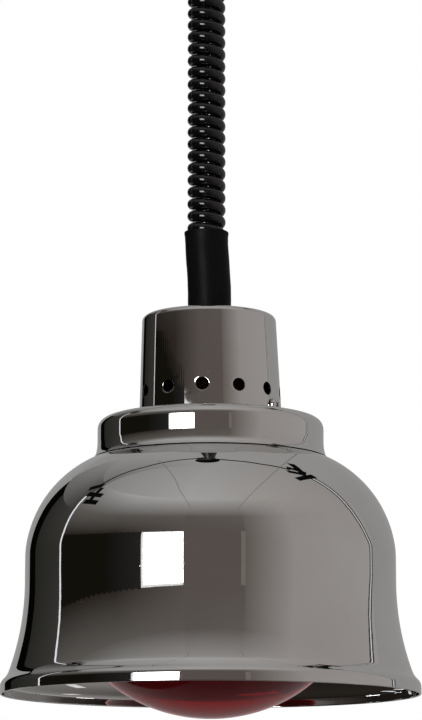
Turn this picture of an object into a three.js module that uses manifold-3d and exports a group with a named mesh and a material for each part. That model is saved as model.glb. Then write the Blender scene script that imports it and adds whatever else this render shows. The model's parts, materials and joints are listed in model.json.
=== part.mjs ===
// Rise-and-fall infrared heat lamp, hung from a ceiling.
// Millimetres, +Z up. The origin is the centre of the face that meets the ceiling.
// Everything in the lamp head is placed from the plane of the shade's rim, head height 0.
import * as THREE from 'three';
import { mergeVertices } from 'three/addons/utils/BufferGeometryUtils.js';
import Module from 'manifold-3d';

const wasm = await Module();
wasm.setup();

// Clearances and facet counts
const fit = 0.3; // between parts that touch, turn or slide in each other
const screwPlay = 0.5; // a hole's radius over its screw's
const sidesShade = 32;
const sidesCap = 24;
const sidesBulb = 24;
const sidesSmall = 12;
const sidesScrew = 8;
const sidesLead = 6;
const roundSteps = 3; // in a sheet's rounded corner

// Shade: spun sheet, a bell with a rolled lip
const shadeRadius = 101.9;
const shadeWall = 1.2;
const rimReach = 13.1; // the rim's radius over the shade's
const lipHeight = 4;
const lipRound = 5;
const lipFlank = 1;
const footRound = 11;
const flareTop = 56;
const shadeWallTop = 73.2;
const domeRound = 61.5;
const domeSteps = 6;
const flareSteps = 3;
const neckPlay = 0.5; // round the lamp holder, in the shade's top

// Collar: a shallow cup turned over the shade's top
const collarRadius = 62.65;
const collarWall = 1;
const collarRound = 4;
const collarGap = 0.65; // above the dome, at the inside of the collar's lip
const collarLipFlare = 2.4;
const collarLipHeight = 7.4;
const collarLipSteps = 2;
const collarHolePlay = 1;
const spacerLength = 16;
const spacerRadius = 4;

// Cap: tapered cup over the lamp holder
const capHeight = 57.9;
const capTaper = 2.2;
const capWall = 1;
const capRound = 3.3;
const ventCount = 12;
const ventRadius = 3.5;
const ventHeight = 13.6; // over the cap's lower edge
const ventTurn = -6.3; // degrees from the front, towards +X
const capScrewTurn = 60.6;
const capScrewHeight = 4.9;

// Ring that stands on the collar inside the cap
const ringHeight = 9;
const ringWall = 1.5;
const ringFlange = 1.5;

// M4 screws and nuts
const screwRadius = 1.8;
const screwHeadRadius = 3.75;
const screwHeadHeight = 2.4;
const screwHeadEdge = 1.2;
const screwHeadFlat = 2.6;
const screwThrough = 1; // past its nut or its thread
const nutRadius = 3.9;
const nutHeight = 3.2;

// Strap bracket that carries the holder, with its cross bar
const legGap = 1.5;
const strap = 2;
const strapWidth = 26;
const footWidth = 16;
const boltRoom = 0.6; // from a leg to the nut on its foot
const barDrop = 19; // from the top web to the cross bar's upper face
const bushWall = 2.7;
const bushLip = 1.6;
const bushHeight = 1.8;
const earthAt = [9, 9];
const lugRadius = 2.6;
const lugHeight = 2.2;

// Porcelain lamp holder and its brass
const holderDepth = 29;
const holderWall = 8.55;
const holderFloor = 5;
const terminalDepth = 11;
const terminalWall = 5.5;
const screwShellWall = 0.65;
const screwShellHeight = 19;
const holderScrewDepth = 7;
const contactRadius = 5;
const contactSheet = 1.1;
const contactRivet = 2.2;
const contactRise = 4; // the rivet's top over the holder's floor
const terminalHeight = 5;
const terminalLength = 8;
const terminalWidth = 7;
const terminalScrewRise = 1.7;

// Infrared reflector bulb, 125 mm across, 27 mm screw base
const bulbRadius = 62.5;
const bulbLength = 181;
const bulbFaceRound = 91;
const bulbEdge = 6; // from the face's rim out to the widest place
const bulbShoulder = 31; // from the bulb's lowest point to its widest
const bulbEdgeBow = 1.5; // what is left of the edge three quarters of the way up the shoulder
const coneBowLow = 0.42; // where the cone's curve starts to turn in, of its height
const coneBowHigh = 0.72; // where it ends
const coneBowReach = 8.1; // from the neck out to the curve's upper guide point
const coneSteps = 7;
const faceSteps = 4;
const glassWall = 1.2;
const neckLength = 9;
const neckSwell = 3;
const baseRadius = 13.2;
const baseSkirtRise = 0.9;
const baseSkirtHeight = 1.4;
const baseHeight = 22;
const baseSheet = 0.6;
const baseTopRadius = 9;
const baseHole = 4.5;
const threadPitch = 3.63;
const threadDepth = 0.8;
const threadEnd = 3; // from each end of the base to its thread
const insulatorHeight = 3;
const insulatorBore = 2;
const tipRadius = 4.8;
const tipHeight = 1;
const mountRodRadius = 4;
const mountRodDrop = 46;
const mountFlareHeight = 16;
const filamentRadius = 14;
const filamentWire = 0.7;
const filamentArc = 300; // degrees
const filamentRise = 52; // over the bulb's lowest point
const supportWire = 0.5;
const supportTurn = 2; // degrees from the filament's end to its support
const filamentSteps = 10;

// Hollow stem, its flange and nut, and the rope's pin and stop
const stemWall = 1;
const stemHeight = 11.5;
const stemFlangeHeight = 2;
const stemNutWall = 3.7;
const stemNutHeight = 4.5;
const pinRadius = 2;
const pinHeight = 8.2; // over the flange's lower face
const stopRadius = 2.2;
const stopLength = 5.2;

// Sleeve over the cord's lower end
const sleeveLength = 48.2;
const sleeveWall = 0.95;
const sleeveFlare = 0.3;
const sleeveFlareHeight = 3;
const sleeveTurnIn = 0.6;

// Curly cord and the rope inside it
const cordRadius = 3.2;
const coilInside = 4.4;
const coilGap = 0.55;
const coilTurns = 26;
const coilStepsPerTurn = 8;
const cordSides = 5;
const measuredStepsPerTurn = 32;
const cordBend = 5.5;
const ropeRadius = 0.8;
const lowerShift = 9.7; // height in which the cord moves in beside the rope's stop
const lowerTurnIn = 14; // height in which it moves on to the axis
const leadRadius = 1;
const leadSpread = 1.5;
const leadSteps = 7;
const liveTurn = 270; // where each core leaves the cord, by degrees from the front
const neutralTurn = 30;
const earthTurn = 150;

// Ceiling bracket, hook and canopy
const bracketSheet = 2.5;
const bracketWidth = 24;
const bracketTab = 14;
const tabSheet = 2;
const ceilingHoleAt = 32;
const ceilingHoleRadius = 2.6;
const hookWire = 2.5;
const hookRound = 8.5;
const hookDrop = 29.5; // from the ceiling to the middle of the hook's lowest wire
const hookStart = 60; // degrees over the level, where its bowl begins
const hookTurn = 240; // degrees that its bowl goes round
const hookSteps = 8;
const hookWireSteps = 22;
const hookNutHeight = 4;
const hookNutWall = 2.7;
const canopyRadius = 53;
const canopyTaper = 1;
const canopyRoom = 9.1; // under the balancer
const canopyWall = 2;
const canopyRound = 8;
const canopyHole = 24.5;
const canopyScrewDrop = 9;
const grommetWall = 2;
const grommetLip = 5;
const grommetSheet = 2;
const grommetEdge = 1;

// Hanging ring between the hook and the balancer
const ringWire = 1.5;
const ringRound = 7.5;

// Balancer: frame, rope drum and spring
const eyeHole = 4.5;
const eyeRound = 7.5;
const eyeSheet = 3;
const eyeRise = 11; // from the eye's middle to the frame's top
const frameSheet = 2;
const frameEnd = 0.5; // past the drum
const frameFrontRoom = 2.5; // past the cord's bush
const cheekSheet = 1.5;
const cheekRoom = 1.5;
const drumRoomAbove = 3;
const drumRoomBelow = 5;
const drumHalfWidth = 9.5;
const drumWall = 1.5;
const drumRise = 3; // the drum's flange over the rope
const drumHub = 5;
const windingBase = 14.4;
const axleRadius = 3;
const clipWall = 2.2;
const clipSheet = 1;
const axleOverhang = 2.4;
const guideWall = 0.7;
const guideLip = 0.9;
const cordGripWall = 0.6;
const cordGripLip = 0.8;
const bendRoom = 2; // from the cord's upper bush to its first bend
const jacketInside = 8; // cord above the frame's floor
const blockHeight = 12;
const blockLength = 9.5;
const blockWidth = 16;
const blockPit = 1.8;
const springSheet = 0.9;
const springTurns = 3;
const springStepsPerTurn = 10;

// Sizes that follow from the ones above. In the head, heights are over the rim plane.

// A round hole's corner radius that clears a round piece by the fit on the hole's flats.
const clear = (radius, sides) => (radius + fit) / Math.cos(Math.PI / sides);

const rimRadius = shadeRadius + rimReach;
const screwShellRadius = baseRadius + fit;
const holderCavity = screwShellRadius + screwShellWall + fit;
const holderRadius = holderCavity + holderWall;
const terminalRoom = holderRadius - terminalWall;
const holderScrewAt = (holderRadius + terminalRoom) / 2;
const baseSkirt = baseRadius + baseSkirtRise;
const glassNeckRadius = baseSkirt - fit;
const legInner = holderRadius + legGap;
const legOuter = legInner + strap;
const boltCircle = legOuter + boltRoom + nutRadius;
const footEnd = boltCircle + nutRadius;
const ringInner = clear(Math.hypot(footEnd, footWidth / 2), sidesCap);
const ringOuter = ringInner + ringWall;
const capSlope = capTaper / (capHeight - capRound);
const capBottomRadius = ringOuter + fit + capWall + ringHeight * capSlope;
const capTopRadius = capBottomRadius - capTaper;
const shadeNeck = holderRadius + neckPlay;
const collarNeck = holderRadius + collarHolePlay;

const coilRadius = coilInside + cordRadius;
const coilPitch = 2 * cordRadius + coilGap;
const lowerTailRadius = stopRadius + fit + cordRadius;
const stemBore = clear(lowerTailRadius + cordRadius, sidesSmall);
const stemRadius = stemBore + stemWall;
const sleeveInner = clear(coilRadius + cordRadius, sidesCap);
const bushBore = clear(cordRadius, sidesSmall);
const bushRadius = bushBore + bushWall;

const shadeTop = shadeWallTop + domeRound;
const spacerBottom = shadeTop + fit;
const collarTop = spacerBottom + spacerLength + fit + collarWall;
const capBottom = collarTop + fit;
const capTop = capBottom + capHeight;
const flangeTop = capBottom + ringFlange;
const footBottom = flangeTop + fit;
const footTop = footBottom + strap;
const stemSeat = capTop + fit;
const stemTop = stemSeat + stemHeight;
const webTop = capTop - capWall - fit;
const webBottom = webTop - strap;
const barTop = webBottom - barDrop;
const barBottom = barTop - strap;
const holderTop = barBottom - fit;
const holderWebTop = holderTop - terminalDepth;
const holderWebBottom = holderWebTop - holderFloor;
const holderBottom = holderWebBottom - holderDepth;
const contactBottom = holderWebBottom - fit - contactSheet;
const terminalBottom = holderWebTop + fit;
const terminalTop = terminalBottom + terminalHeight;
const terminalNear = contactRivet + fit;
const terminalFar = terminalNear + terminalLength;
const bulbTop = contactBottom - fit;
const bulbBottom = bulbTop - bulbLength;
const insulatorBottom = bulbTop - tipHeight - fit - insulatorHeight;
const baseBottom = insulatorBottom - fit - baseHeight;
const bulbNeckTop = baseBottom - fit;
const mountRodBottom = bulbNeckTop - mountRodDrop;
const filamentHeight = bulbBottom + filamentRise;
const pinMiddle = stemSeat + pinHeight;
const stopTop = pinMiddle - pinRadius - fit;

const windingRadius = windingBase + fit + ropeRadius;
const drumRadius = windingRadius + drumRise;
const gripBore = clear(cordRadius, sidesSmall);
const gripOuter = gripBore + cordGripWall;
const guideBore = clear(ropeRadius, sidesSmall);
const guideOuter = guideBore + guideWall;
const frameHeight = 2 * frameSheet + drumRoomAbove + 2 * drumRadius + drumRoomBelow;
const frameHalfWidth = drumHalfWidth + cheekRoom + cheekSheet;
const frameBack = windingRadius + drumRadius + frameEnd;
const frameFront = coilRadius + gripOuter + cordGripLip + frameFrontRoom;
const hangingRingMiddle = hookWire + fit + ringWire - hookDrop - ringRound;
const eyeMiddle = hangingRingMiddle - ringRound + ringWire + fit - eyeHole;
const frameTop = eyeMiddle - eyeRise;
const frameBottom = frameTop - frameHeight;
const floorTop = frameBottom + frameSheet;
const axleHeight = frameTop - frameSheet - drumRoomAbove - drumRadius;
const axleX = -windingRadius;
const jacketTop = floorTop + jacketInside;
const blockTop = frameTop - frameSheet - fit;
const blockBottom = blockTop - blockHeight;
const blockFront = frameFront - fit;
const canopyBottom = frameBottom - canopyRoom;
const canopyInside = (canopyRadius - canopyWall) * Math.cos(Math.PI / sidesBulb) - fit;
const bracketReach = Math.sqrt(canopyInside ** 2 - (bracketWidth / 2) ** 2);

// The cord's bends at both ends of its curls lie on the curls' cylinder.
const lead = Math.atan(coilPitch / (2 * Math.PI * coilRadius));
const bendAngle = Math.PI / 2 - lead;
const bendAround = cordBend * (1 - Math.cos(bendAngle));
const bendDrop = cordBend * Math.sin(bendAngle);
const coilAround = coilTurns * 2 * Math.PI * coilRadius;
const helixAround = coilAround - 2 * bendAround;
const bendTop = frameBottom - fit - cordGripLip - bendRoom;
const bendBottom = bendTop - 2 * bendDrop - helixAround * Math.tan(lead);
const rimHeight = bendBottom - lowerShift - stemTop;

const boltSides = { right: 1, left: -1 };

// Geometry helpers

function signedVolume(position, index) {
  const [a, b, c] = [new THREE.Vector3(), new THREE.Vector3(), new THREE.Vector3()];
  let volume = 0;
  for (let i = 0; i < index.length; i += 3) {
    a.fromBufferAttribute(position, index[i]);
    b.fromBufferAttribute(position, index[i + 1]);
    c.fromBufferAttribute(position, index[i + 2]);
    volume += a.dot(b.cross(c)) / 6;
  }
  return volume;
}

// Shares the corners, drops triangles with no area and turns the faces outwards.
function closed(geometry) {
  geometry.deleteAttribute('normal');
  geometry.deleteAttribute('uv');
  const merged = mergeVertices(geometry);
  const corners = merged.index.array;
  const kept = [];
  for (let i = 0; i < corners.length; i += 3) {
    const [p, q, r] = [corners[i], corners[i + 1], corners[i + 2]];
    if (p !== q && q !== r && r !== p) kept.push(p, q, r);
  }
  if (signedVolume(merged.attributes.position, kept) < 0) kept.reverse();
  merged.setIndex(kept);
  merged.computeVertexNormals();
  return merged;
}

function toSolid(geometry) {
  return new wasm.Manifold(new wasm.Mesh({
    numProp: 3,
    vertProperties: new Float32Array(geometry.attributes.position.array),
    triVerts: new Uint32Array(geometry.index.array),
  }));
}

function fromSolid(solid) {
  const mesh = solid.getMesh();
  const geometry = new THREE.BufferGeometry();
  geometry.setAttribute('position', new THREE.BufferAttribute(mesh.vertProperties, 3));
  geometry.setIndex(Array.from(mesh.triVerts));
  geometry.computeVertexNormals();
  return geometry;
}

function cut(geometry, tools) {
  return fromSolid(tools.reduce((solid, tool) => solid.subtract(toSolid(tool)), toSolid(geometry)));
}

function join(pieces) {
  return fromSolid(pieces.map(toSolid).reduce((all, piece) => all.add(piece)));
}

// A body turned about Z from [radius, height] pairs. It starts and ends on the axis, or closes.
function turned(profile, sides) {
  const points = profile.map(([radius, height]) => new THREE.Vector2(radius, height));
  const onAxis = points[0].x === 0 && points[points.length - 1].x === 0;
  if (!onAxis) points.push(points[0].clone());
  return closed(new THREE.LatheGeometry(points, sides).rotateX(Math.PI / 2));
}

function pipe(inner, outer, low, high, sides) {
  return turned([[inner, low], [outer, low], [outer, high], [inner, high]], sides);
}

function disc(radius, low, high, sides) {
  return turned([[0, low], [radius, low], [radius, high], [0, high]], sides);
}

function arc(centreRadius, centreHeight, radius, from, to, steps) {
  return Array.from({ length: steps + 1 }, (_, i) => {
    const angle = THREE.MathUtils.degToRad(THREE.MathUtils.lerp(from, to, i / steps));
    return [centreRadius + radius * Math.cos(angle), centreHeight + radius * Math.sin(angle)];
  });
}

// Lays a body made about +Z along another direction.
function laid(geometry, at, direction) {
  const zAxis = new THREE.Vector3(0, 0, 1);
  const turn = new THREE.Quaternion().setFromUnitVectors(zAxis, new THREE.Vector3(...direction));
  return geometry.applyQuaternion(turn).translate(...at);
}

function bar(from, to, radius, sides = sidesScrew) {
  const along = new THREE.Vector3(...to).sub(new THREE.Vector3(...from));
  const length = along.length();
  return laid(disc(radius, 0, length, sides), from, along.divideScalar(length).toArray());
}

function block(xRange, yRange, zRange) {
  const [x, y, z] = [xRange, yRange, zRange].map((range) => [Math.min(...range), Math.max(...range)]);
  const geometry = new THREE.BoxGeometry(x[1] - x[0], y[1] - y[0], z[1] - z[0]);
  return closed(geometry.translate((x[0] + x[1]) / 2, (y[0] + y[1]) / 2, (z[0] + z[1]) / 2));
}

function wire(points, radius, steps, sides) {
  const corners = Array.from({ length: sides }, (_, i) => {
    const angle = (2 * Math.PI * i) / sides;
    return new THREE.Vector2(radius * Math.cos(angle), radius * Math.sin(angle));
  });
  const extrudePath = new THREE.CatmullRomCurve3(points.map((p) => new THREE.Vector3(...p)));
  const options = { steps, extrudePath, bevelEnabled: false };
  return closed(new THREE.ExtrudeGeometry(new THREE.Shape(corners), options));
}

// A pan-head screw along +Z. Its head stands on height 0 and its shank goes down from there.
function screw(length) {
  return turned([
    [0, -length],
    [screwRadius, -length],
    [screwRadius, 0],
    [screwHeadRadius, 0],
    [screwHeadRadius, screwHeadEdge],
    [screwHeadFlat, screwHeadHeight],
    [0, screwHeadHeight],
  ], sidesScrew);
}

// A point round the axis, by degrees from the front (-Y) towards +X.
function around(radius, degrees, height) {
  const angle = THREE.MathUtils.degToRad(degrees);
  return [radius * Math.sin(angle), -radius * Math.cos(angle), height];
}

function turnsOf(count, first) {
  return Array.from({ length: count }, (_, i) => first + (360 / count) * i);
}

function boltHoles(low, high) {
  return Object.values(boltSides).map((side) => bar(
    [side * boltCircle, 0, low],
    [side * boltCircle, 0, high],
    screwRadius + screwPlay,
  ));
}

// Shade, collar, cap and what clamps them

// One side of the shade's sheet, rim first: an upright lip, its round, a flank at 45 degrees, a
// small hollow and one long hollow that ends upright, then the wall and the dome. The long
// hollow's radius is the one that meets both the small hollow and the wall without a corner.
function shadeSide(inset) {
  const lip = [rimRadius - lipRound, lipHeight];
  const slant = Math.SQRT1_2;
  const foot = [
    lip[0] + (lipRound - lipFlank + footRound) * slant,
    lip[1] + (lipRound + lipFlank + footRound) * slant,
  ];
  const [across, up] = [shadeRadius - foot[0], flareTop - foot[1]];
  const flareRound = (footRound ** 2 - across ** 2 - up ** 2) / (2 * (across + footRound));
  const flare = [shadeRadius + flareRound, flareTop];
  const meet = 180 + THREE.MathUtils.radToDeg(Math.atan2(flare[1] - foot[1], flare[0] - foot[0]));
  return [
    [rimRadius - inset, 0],
    ...arc(...lip, lipRound - inset, 0, 45, 2),
    ...arc(...foot, footRound + inset, 225, meet, 1),
    ...arc(...flare, flareRound + inset, meet, 180, flareSteps).slice(1),
    ...arc(shadeRadius - domeRound, shadeWallTop, domeRound - inset, 0, 90, domeSteps),
    [shadeNeck, shadeTop - inset],
  ];
}

function shade() {
  const body = turned([...shadeSide(0), ...shadeSide(shadeWall).reverse()], sidesShade);
  return cut(body, boltHoles(shadeTop - 2 * shadeWall, shadeTop + shadeWall));
}

function domeHeight(radius) {
  return shadeWallTop + Math.sqrt(domeRound ** 2 - (radius - shadeRadius + domeRound) ** 2);
}

// The collar's lower lip curves outwards over the dome.
function collar() {
  const lipTop = domeHeight(collarRadius + collarLipFlare - collarWall) + collarGap + collarLipHeight;
  const lipTurn = 2 * Math.atan(collarLipFlare / collarLipHeight);
  const lipBend = collarLipHeight / Math.sin(lipTurn);
  const lipEnd = 180 + THREE.MathUtils.radToDeg(lipTurn);
  const lip = arc(collarRadius + lipBend, lipTop, lipBend, lipEnd, 180, collarLipSteps);
  const roundMiddle = [collarRadius - collarRound, collarTop - collarRound];
  const body = turned([
    ...lip,
    ...arc(...roundMiddle, collarRound, 0, 90, roundSteps),
    [collarNeck, collarTop],
    [collarNeck, collarTop - collarWall],
    ...arc(...roundMiddle, collarRound - collarWall, 90, 0, roundSteps),
    ...lip.map(([radius, height]) => [radius - collarWall, height]).reverse(),
  ], sidesCap);
  return cut(body, boltHoles(collarTop - 2 * collarWall, collarTop + collarWall));
}

function cap() {
  const roundMiddle = [capTopRadius - capRound, capTop - capRound];
  const hole = clear(stemRadius, sidesCap);
  const body = turned([
    [capBottomRadius, capBottom],
    ...arc(...roundMiddle, capRound, 0, 90, roundSteps),
    [hole, capTop],
    [hole, capTop - capWall],
    ...arc(...roundMiddle, capRound - capWall, 90, 0, roundSteps - 1),
    [capBottomRadius - capWall, capBottom],
  ], sidesCap);
  const through = (turn, height, radius) => bar(
    around(capTopRadius - 2 * capWall, turn, height),
    around(capBottomRadius + capWall, turn, height),
    radius,
  );
  return cut(body, [
    ...turnsOf(ventCount, ventTurn).map((t) => through(t, capBottom + ventHeight, ventRadius)),
    ...turnsOf(2, capScrewTurn).map((t) => through(t, capBottom + capScrewHeight, screwRadius + screwPlay)),
  ]);
}

function capScrew(turn) {
  const height = capBottom + capScrewHeight;
  const seat = capBottomRadius - capScrewHeight * capSlope + fit;
  const length = seat - ringInner + screwThrough;
  return laid(screw(length), around(seat, turn, height), around(1, turn, 0));
}

function capRing() {
  const inner = boltCircle - nutRadius;
  const top = capBottom + ringHeight;
  const body = turned([
    [inner, capBottom], [ringOuter, capBottom], [ringOuter, top],
    [ringInner, top], [ringInner, flangeTop], [inner, flangeTop],
  ], sidesCap);
  const threads = turnsOf(2, capScrewTurn).map((turn) => bar(
    around(ringInner - ringWall, turn, capBottom + capScrewHeight),
    around(ringOuter + ringWall, turn, capBottom + capScrewHeight),
    clear(screwRadius, sidesScrew),
  ));
  return cut(body, [...boltHoles(capBottom - ringFlange, flangeTop + ringFlange), ...threads]);
}

function spacer(side) {
  const tube = pipe(screwRadius + screwPlay, spacerRadius, 0, spacerLength, sidesScrew);
  return tube.translate(side * boltCircle, 0, spacerBottom);
}

function shadeScrew(side) {
  const seat = shadeTop - shadeWall - fit;
  const length = footTop + fit + nutHeight + screwThrough - seat;
  return laid(screw(length), [side * boltCircle, 0, seat], [0, 0, -1]);
}

function shadeNut(side) {
  const nut = pipe(clear(screwRadius, sidesScrew), nutRadius, 0, nutHeight, 6);
  return nut.translate(side * boltCircle, 0, footTop + fit);
}

function headBracket() {
  const half = strapWidth / 2;
  const strips = [
    block([-legOuter, legOuter], [-half, half], [webBottom, webTop]),
    block([-legOuter, legOuter], [-half, half], [barBottom, barTop]),
  ];
  Object.values(boltSides).forEach((side) => {
    strips.push(block([side * legInner, side * legOuter], [-half, half], [footBottom, webTop]));
    strips.push(block(
      [side * legInner, side * footEnd],
      [-footWidth / 2, footWidth / 2],
      [footBottom, footTop],
    ));
  });
  const through = (x, y, low, radius, sides) => bar(
    [x, y, low - strap],
    [x, y, low + 2 * strap],
    radius,
    sides,
  );
  const thread = clear(screwRadius, sidesScrew);
  return cut(join(strips), [
    through(0, 0, webBottom, clear(stemRadius, sidesSmall), sidesSmall),
    through(0, 0, barBottom, clear(bushRadius, sidesSmall), sidesSmall),
    through(holderScrewAt, 0, barBottom, thread),
    through(-holderScrewAt, 0, barBottom, thread),
    through(...earthAt, barBottom, thread),
    ...boltHoles(footBottom - strap, footTop + strap),
  ]);
}

// Stem and sleeve

function stem() {
  const low = webBottom - fit - stemNutHeight - screwThrough;
  const flange = sleeveInner - fit;
  const body = turned([
    [stemBore, low],
    [stemRadius, low],
    [stemRadius, stemSeat],
    [flange, stemSeat],
    [flange, stemSeat + stemFlangeHeight],
    [stemRadius, stemSeat + stemFlangeHeight],
    [stemRadius, stemTop],
    [stemBore, stemTop],
  ], sidesSmall);
  const reach = 2 * stemRadius;
  return cut(body, [
    bar([0, -reach, pinMiddle], [0, reach, pinMiddle], clear(pinRadius, sidesScrew)),
  ]);
}

function stemNut() {
  const high = webBottom - fit;
  const bore = clear(stemRadius, sidesSmall);
  const hexagon = disc(bore + stemNutWall, high - stemNutHeight, high, 6);
  return cut(hexagon, [disc(bore, high - 2 * stemNutHeight, high + stemNutHeight, sidesSmall)]);
}

function ropePin() {
  const reach = coilRadius + cordRadius - fit;
  const pin = bar([0, -reach, pinMiddle], [0, reach, pinMiddle], pinRadius);
  const hole = clear(ropeRadius, sidesScrew);
  return cut(pin, [bar([0, 0, pinMiddle - 2 * pinRadius], [0, 0, pinMiddle + 2 * pinRadius], hole)]);
}

function ropeStop() {
  return disc(stopRadius, stopTop - stopLength, stopTop, sidesScrew);
}

function sleeve() {
  const outer = sleeveInner + sleeveWall;
  const high = stemSeat + sleeveLength;
  return turned([
    [sleeveInner, stemSeat],
    [outer, stemSeat],
    [outer, high - sleeveFlareHeight],
    [outer + sleeveFlare, high - sleeveTurnIn],
    [outer, high],
    [sleeveInner, high],
  ], sidesCap);
}

// Lamp holder

function cordBush() {
  const lipBottom = barTop + fit;
  return turned([
    [bushBore, barBottom],
    [bushRadius, barBottom],
    [bushRadius, lipBottom],
    [bushRadius + bushLip, lipBottom],
    [bushRadius + bushLip, lipBottom + bushHeight],
    [bushBore, lipBottom + bushHeight],
  ], sidesSmall);
}

function lampHolder() {
  const bore = contactRivet + fit;
  const body = turned([
    [holderCavity, holderBottom],
    [holderRadius, holderBottom],
    [holderRadius, holderTop],
    [terminalRoom, holderTop],
    [terminalRoom, holderWebTop],
    [bore, holderWebTop],
    [bore, holderWebBottom],
    [holderCavity, holderWebBottom],
  ], sidesBulb);
  return cut(body, Object.values(boltSides).map((side) => bar(
    [side * holderScrewAt, 0, holderTop - holderScrewDepth - screwThrough],
    [side * holderScrewAt, 0, holderTop + screwThrough],
    clear(screwRadius, sidesScrew),
  )));
}

function holderScrew(side) {
  const seat = barTop + fit;
  return laid(screw(seat - holderTop + holderScrewDepth), [side * holderScrewAt, 0, seat], [0, 0, 1]);
}

function holderShell() {
  const high = holderWebBottom - fit;
  return pipe(screwShellRadius, screwShellRadius + screwShellWall, high - screwShellHeight, high, sidesBulb);
}

function holderContact() {
  const sheetTop = contactBottom + contactSheet;
  return turned([
    [0, contactBottom],
    [contactRadius, contactBottom],
    [contactRadius, sheetTop],
    [contactRivet, sheetTop],
    [contactRivet, holderWebTop + contactRise],
    [0, holderWebTop + contactRise],
  ], sidesSmall);
}

function holderTerminal(side) {
  const middle = (terminalBottom + terminalTop) / 2;
  const half = terminalWidth / 2;
  return join([
    block([side * terminalNear, side * terminalFar], [-half, half], [terminalBottom, terminalTop]),
    bar(
      [side * (terminalFar - terminalScrewRise), 0, middle],
      [side * (terminalFar + terminalScrewRise), 0, middle],
      screwRadius,
    ),
  ]);
}

// One core of the cord, from the cord's end at the given turn to the point it is fixed at, which
// it meets from above (1) or from below (-1).
function coreWire(turn, end, from) {
  const high = barBottom - fit;
  const away = around(leadSpread, turn, 0);
  return wire([
    [away[0], away[1], high],
    [away[0], away[1], high - leadRadius],
    [end[0], end[1], end[2] + from * 2 * leadRadius],
    end,
  ], leadRadius, leadSteps, sidesLead);
}

function mainsWire(side, turn) {
  return coreWire(turn, [side * (terminalNear + terminalLength / 2), 0, terminalTop + fit], 1);
}

function earthWire() {
  return coreWire(earthTurn, [...earthAt, barBottom - fit - lugHeight - fit], -1);
}

function earthScrew() {
  const seat = barTop + fit;
  const lugTop = barBottom - fit;
  const shank = seat - lugTop + lugHeight;
  const lug = disc(lugRadius, -shank, lugTop - seat, sidesScrew);
  return laid(join([screw(shank), lug]), [...earthAt, seat], [0, 0, 1]);
}

// Bulb

function bulbSide(inset) {
  const widest = bulbBottom + bulbShoulder;
  const neckLow = bulbNeckTop - neckLength;
  const faceRim = bulbRadius - bulbEdge;
  const faceAngle = THREE.MathUtils.radToDeg(Math.asin(faceRim / bulbFaceRound));
  const face = arc(0, bulbBottom + bulbFaceRound, bulbFaceRound - inset, -90, faceAngle - 90, faceSteps);
  const flank = new THREE.CubicBezierCurve(
    new THREE.Vector2(bulbRadius - inset, widest),
    new THREE.Vector2(bulbRadius - inset, THREE.MathUtils.lerp(widest, neckLow, coneBowLow)),
    new THREE.Vector2(
      glassNeckRadius + coneBowReach - inset,
      THREE.MathUtils.lerp(widest, neckLow, coneBowHigh),
    ),
    new THREE.Vector2(glassNeckRadius + neckSwell - inset, neckLow),
  );
  return [
    [0, bulbBottom + inset],
    ...face.slice(1),
    [bulbRadius - bulbEdgeBow - inset, bulbBottom + (3 * bulbShoulder) / 4],
    ...flank.getPoints(coneSteps).map((p) => [p.x, p.y]),
    [glassNeckRadius - inset, bulbNeckTop],
  ];
}

function bulbGlass() {
  return turned([...bulbSide(0), ...bulbSide(glassWall).reverse()], sidesBulb);
}

function bulbBase() {
  const high = baseBottom + baseHeight;
  const threadLow = baseBottom + threadEnd;
  const ridges = Math.floor((baseHeight - 2 * threadEnd) / threadPitch);
  const root = baseRadius - threadDepth;
  const thread = Array.from({ length: 2 * ridges + 1 }, (_, i) => (
    [i % 2 === 1 ? baseRadius : root, threadLow + (i * threadPitch) / 2]
  ));
  return turned([
    [baseSkirt, baseBottom],
    [baseSkirt, baseBottom + baseSkirtHeight],
    ...thread,
    [baseTopRadius, high],
    [baseHole, high],
    [baseHole, high - baseSheet],
    [baseTopRadius - baseSheet, high - baseSheet],
    [root - baseSheet, high - threadEnd],
    [root - baseSheet, baseBottom],
  ], sidesBulb);
}

function bulbInsulator() {
  return turned([
    [insulatorBore, insulatorBottom],
    [baseTopRadius, insulatorBottom],
    [tipRadius, insulatorBottom + insulatorHeight],
    [insulatorBore, insulatorBottom + insulatorHeight],
  ], sidesSmall);
}

function bulbTip() {
  return disc(tipRadius, bulbTop - tipHeight, bulbTop, sidesSmall);
}

function bulbMount() {
  const flare = glassNeckRadius - glassWall - fit;
  return turned([
    [0, mountRodBottom],
    [mountRodRadius, mountRodBottom],
    [mountRodRadius, bulbNeckTop - mountFlareHeight],
    [flare, bulbNeckTop],
    [0, bulbNeckTop],
  ], sidesSmall);
}

function filament() {
  const top = mountRodBottom - fit;
  const loop = Array.from({ length: filamentSteps + 1 }, (_, i) => (
    around(filamentRadius, filamentArc * (i / filamentSteps - 0.5), filamentHeight)
  ));
  const leads = Object.values(boltSides).map((side) => {
    const turn = side * (filamentArc / 2 - supportTurn);
    const inner = mountRodRadius / 2;
    return wire([
      around(inner, turn, top),
      around(inner, turn, top - mountRodRadius),
      around((inner + filamentRadius) / 2, turn, (top + filamentHeight) / 2),
      around(filamentRadius, turn, filamentHeight),
    ], supportWire, leadSteps, sidesLead);
  });
  return join([wire(loop, filamentWire, 2 * filamentSteps, sidesLead), ...leads]);
}

// Cord and rope

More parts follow.
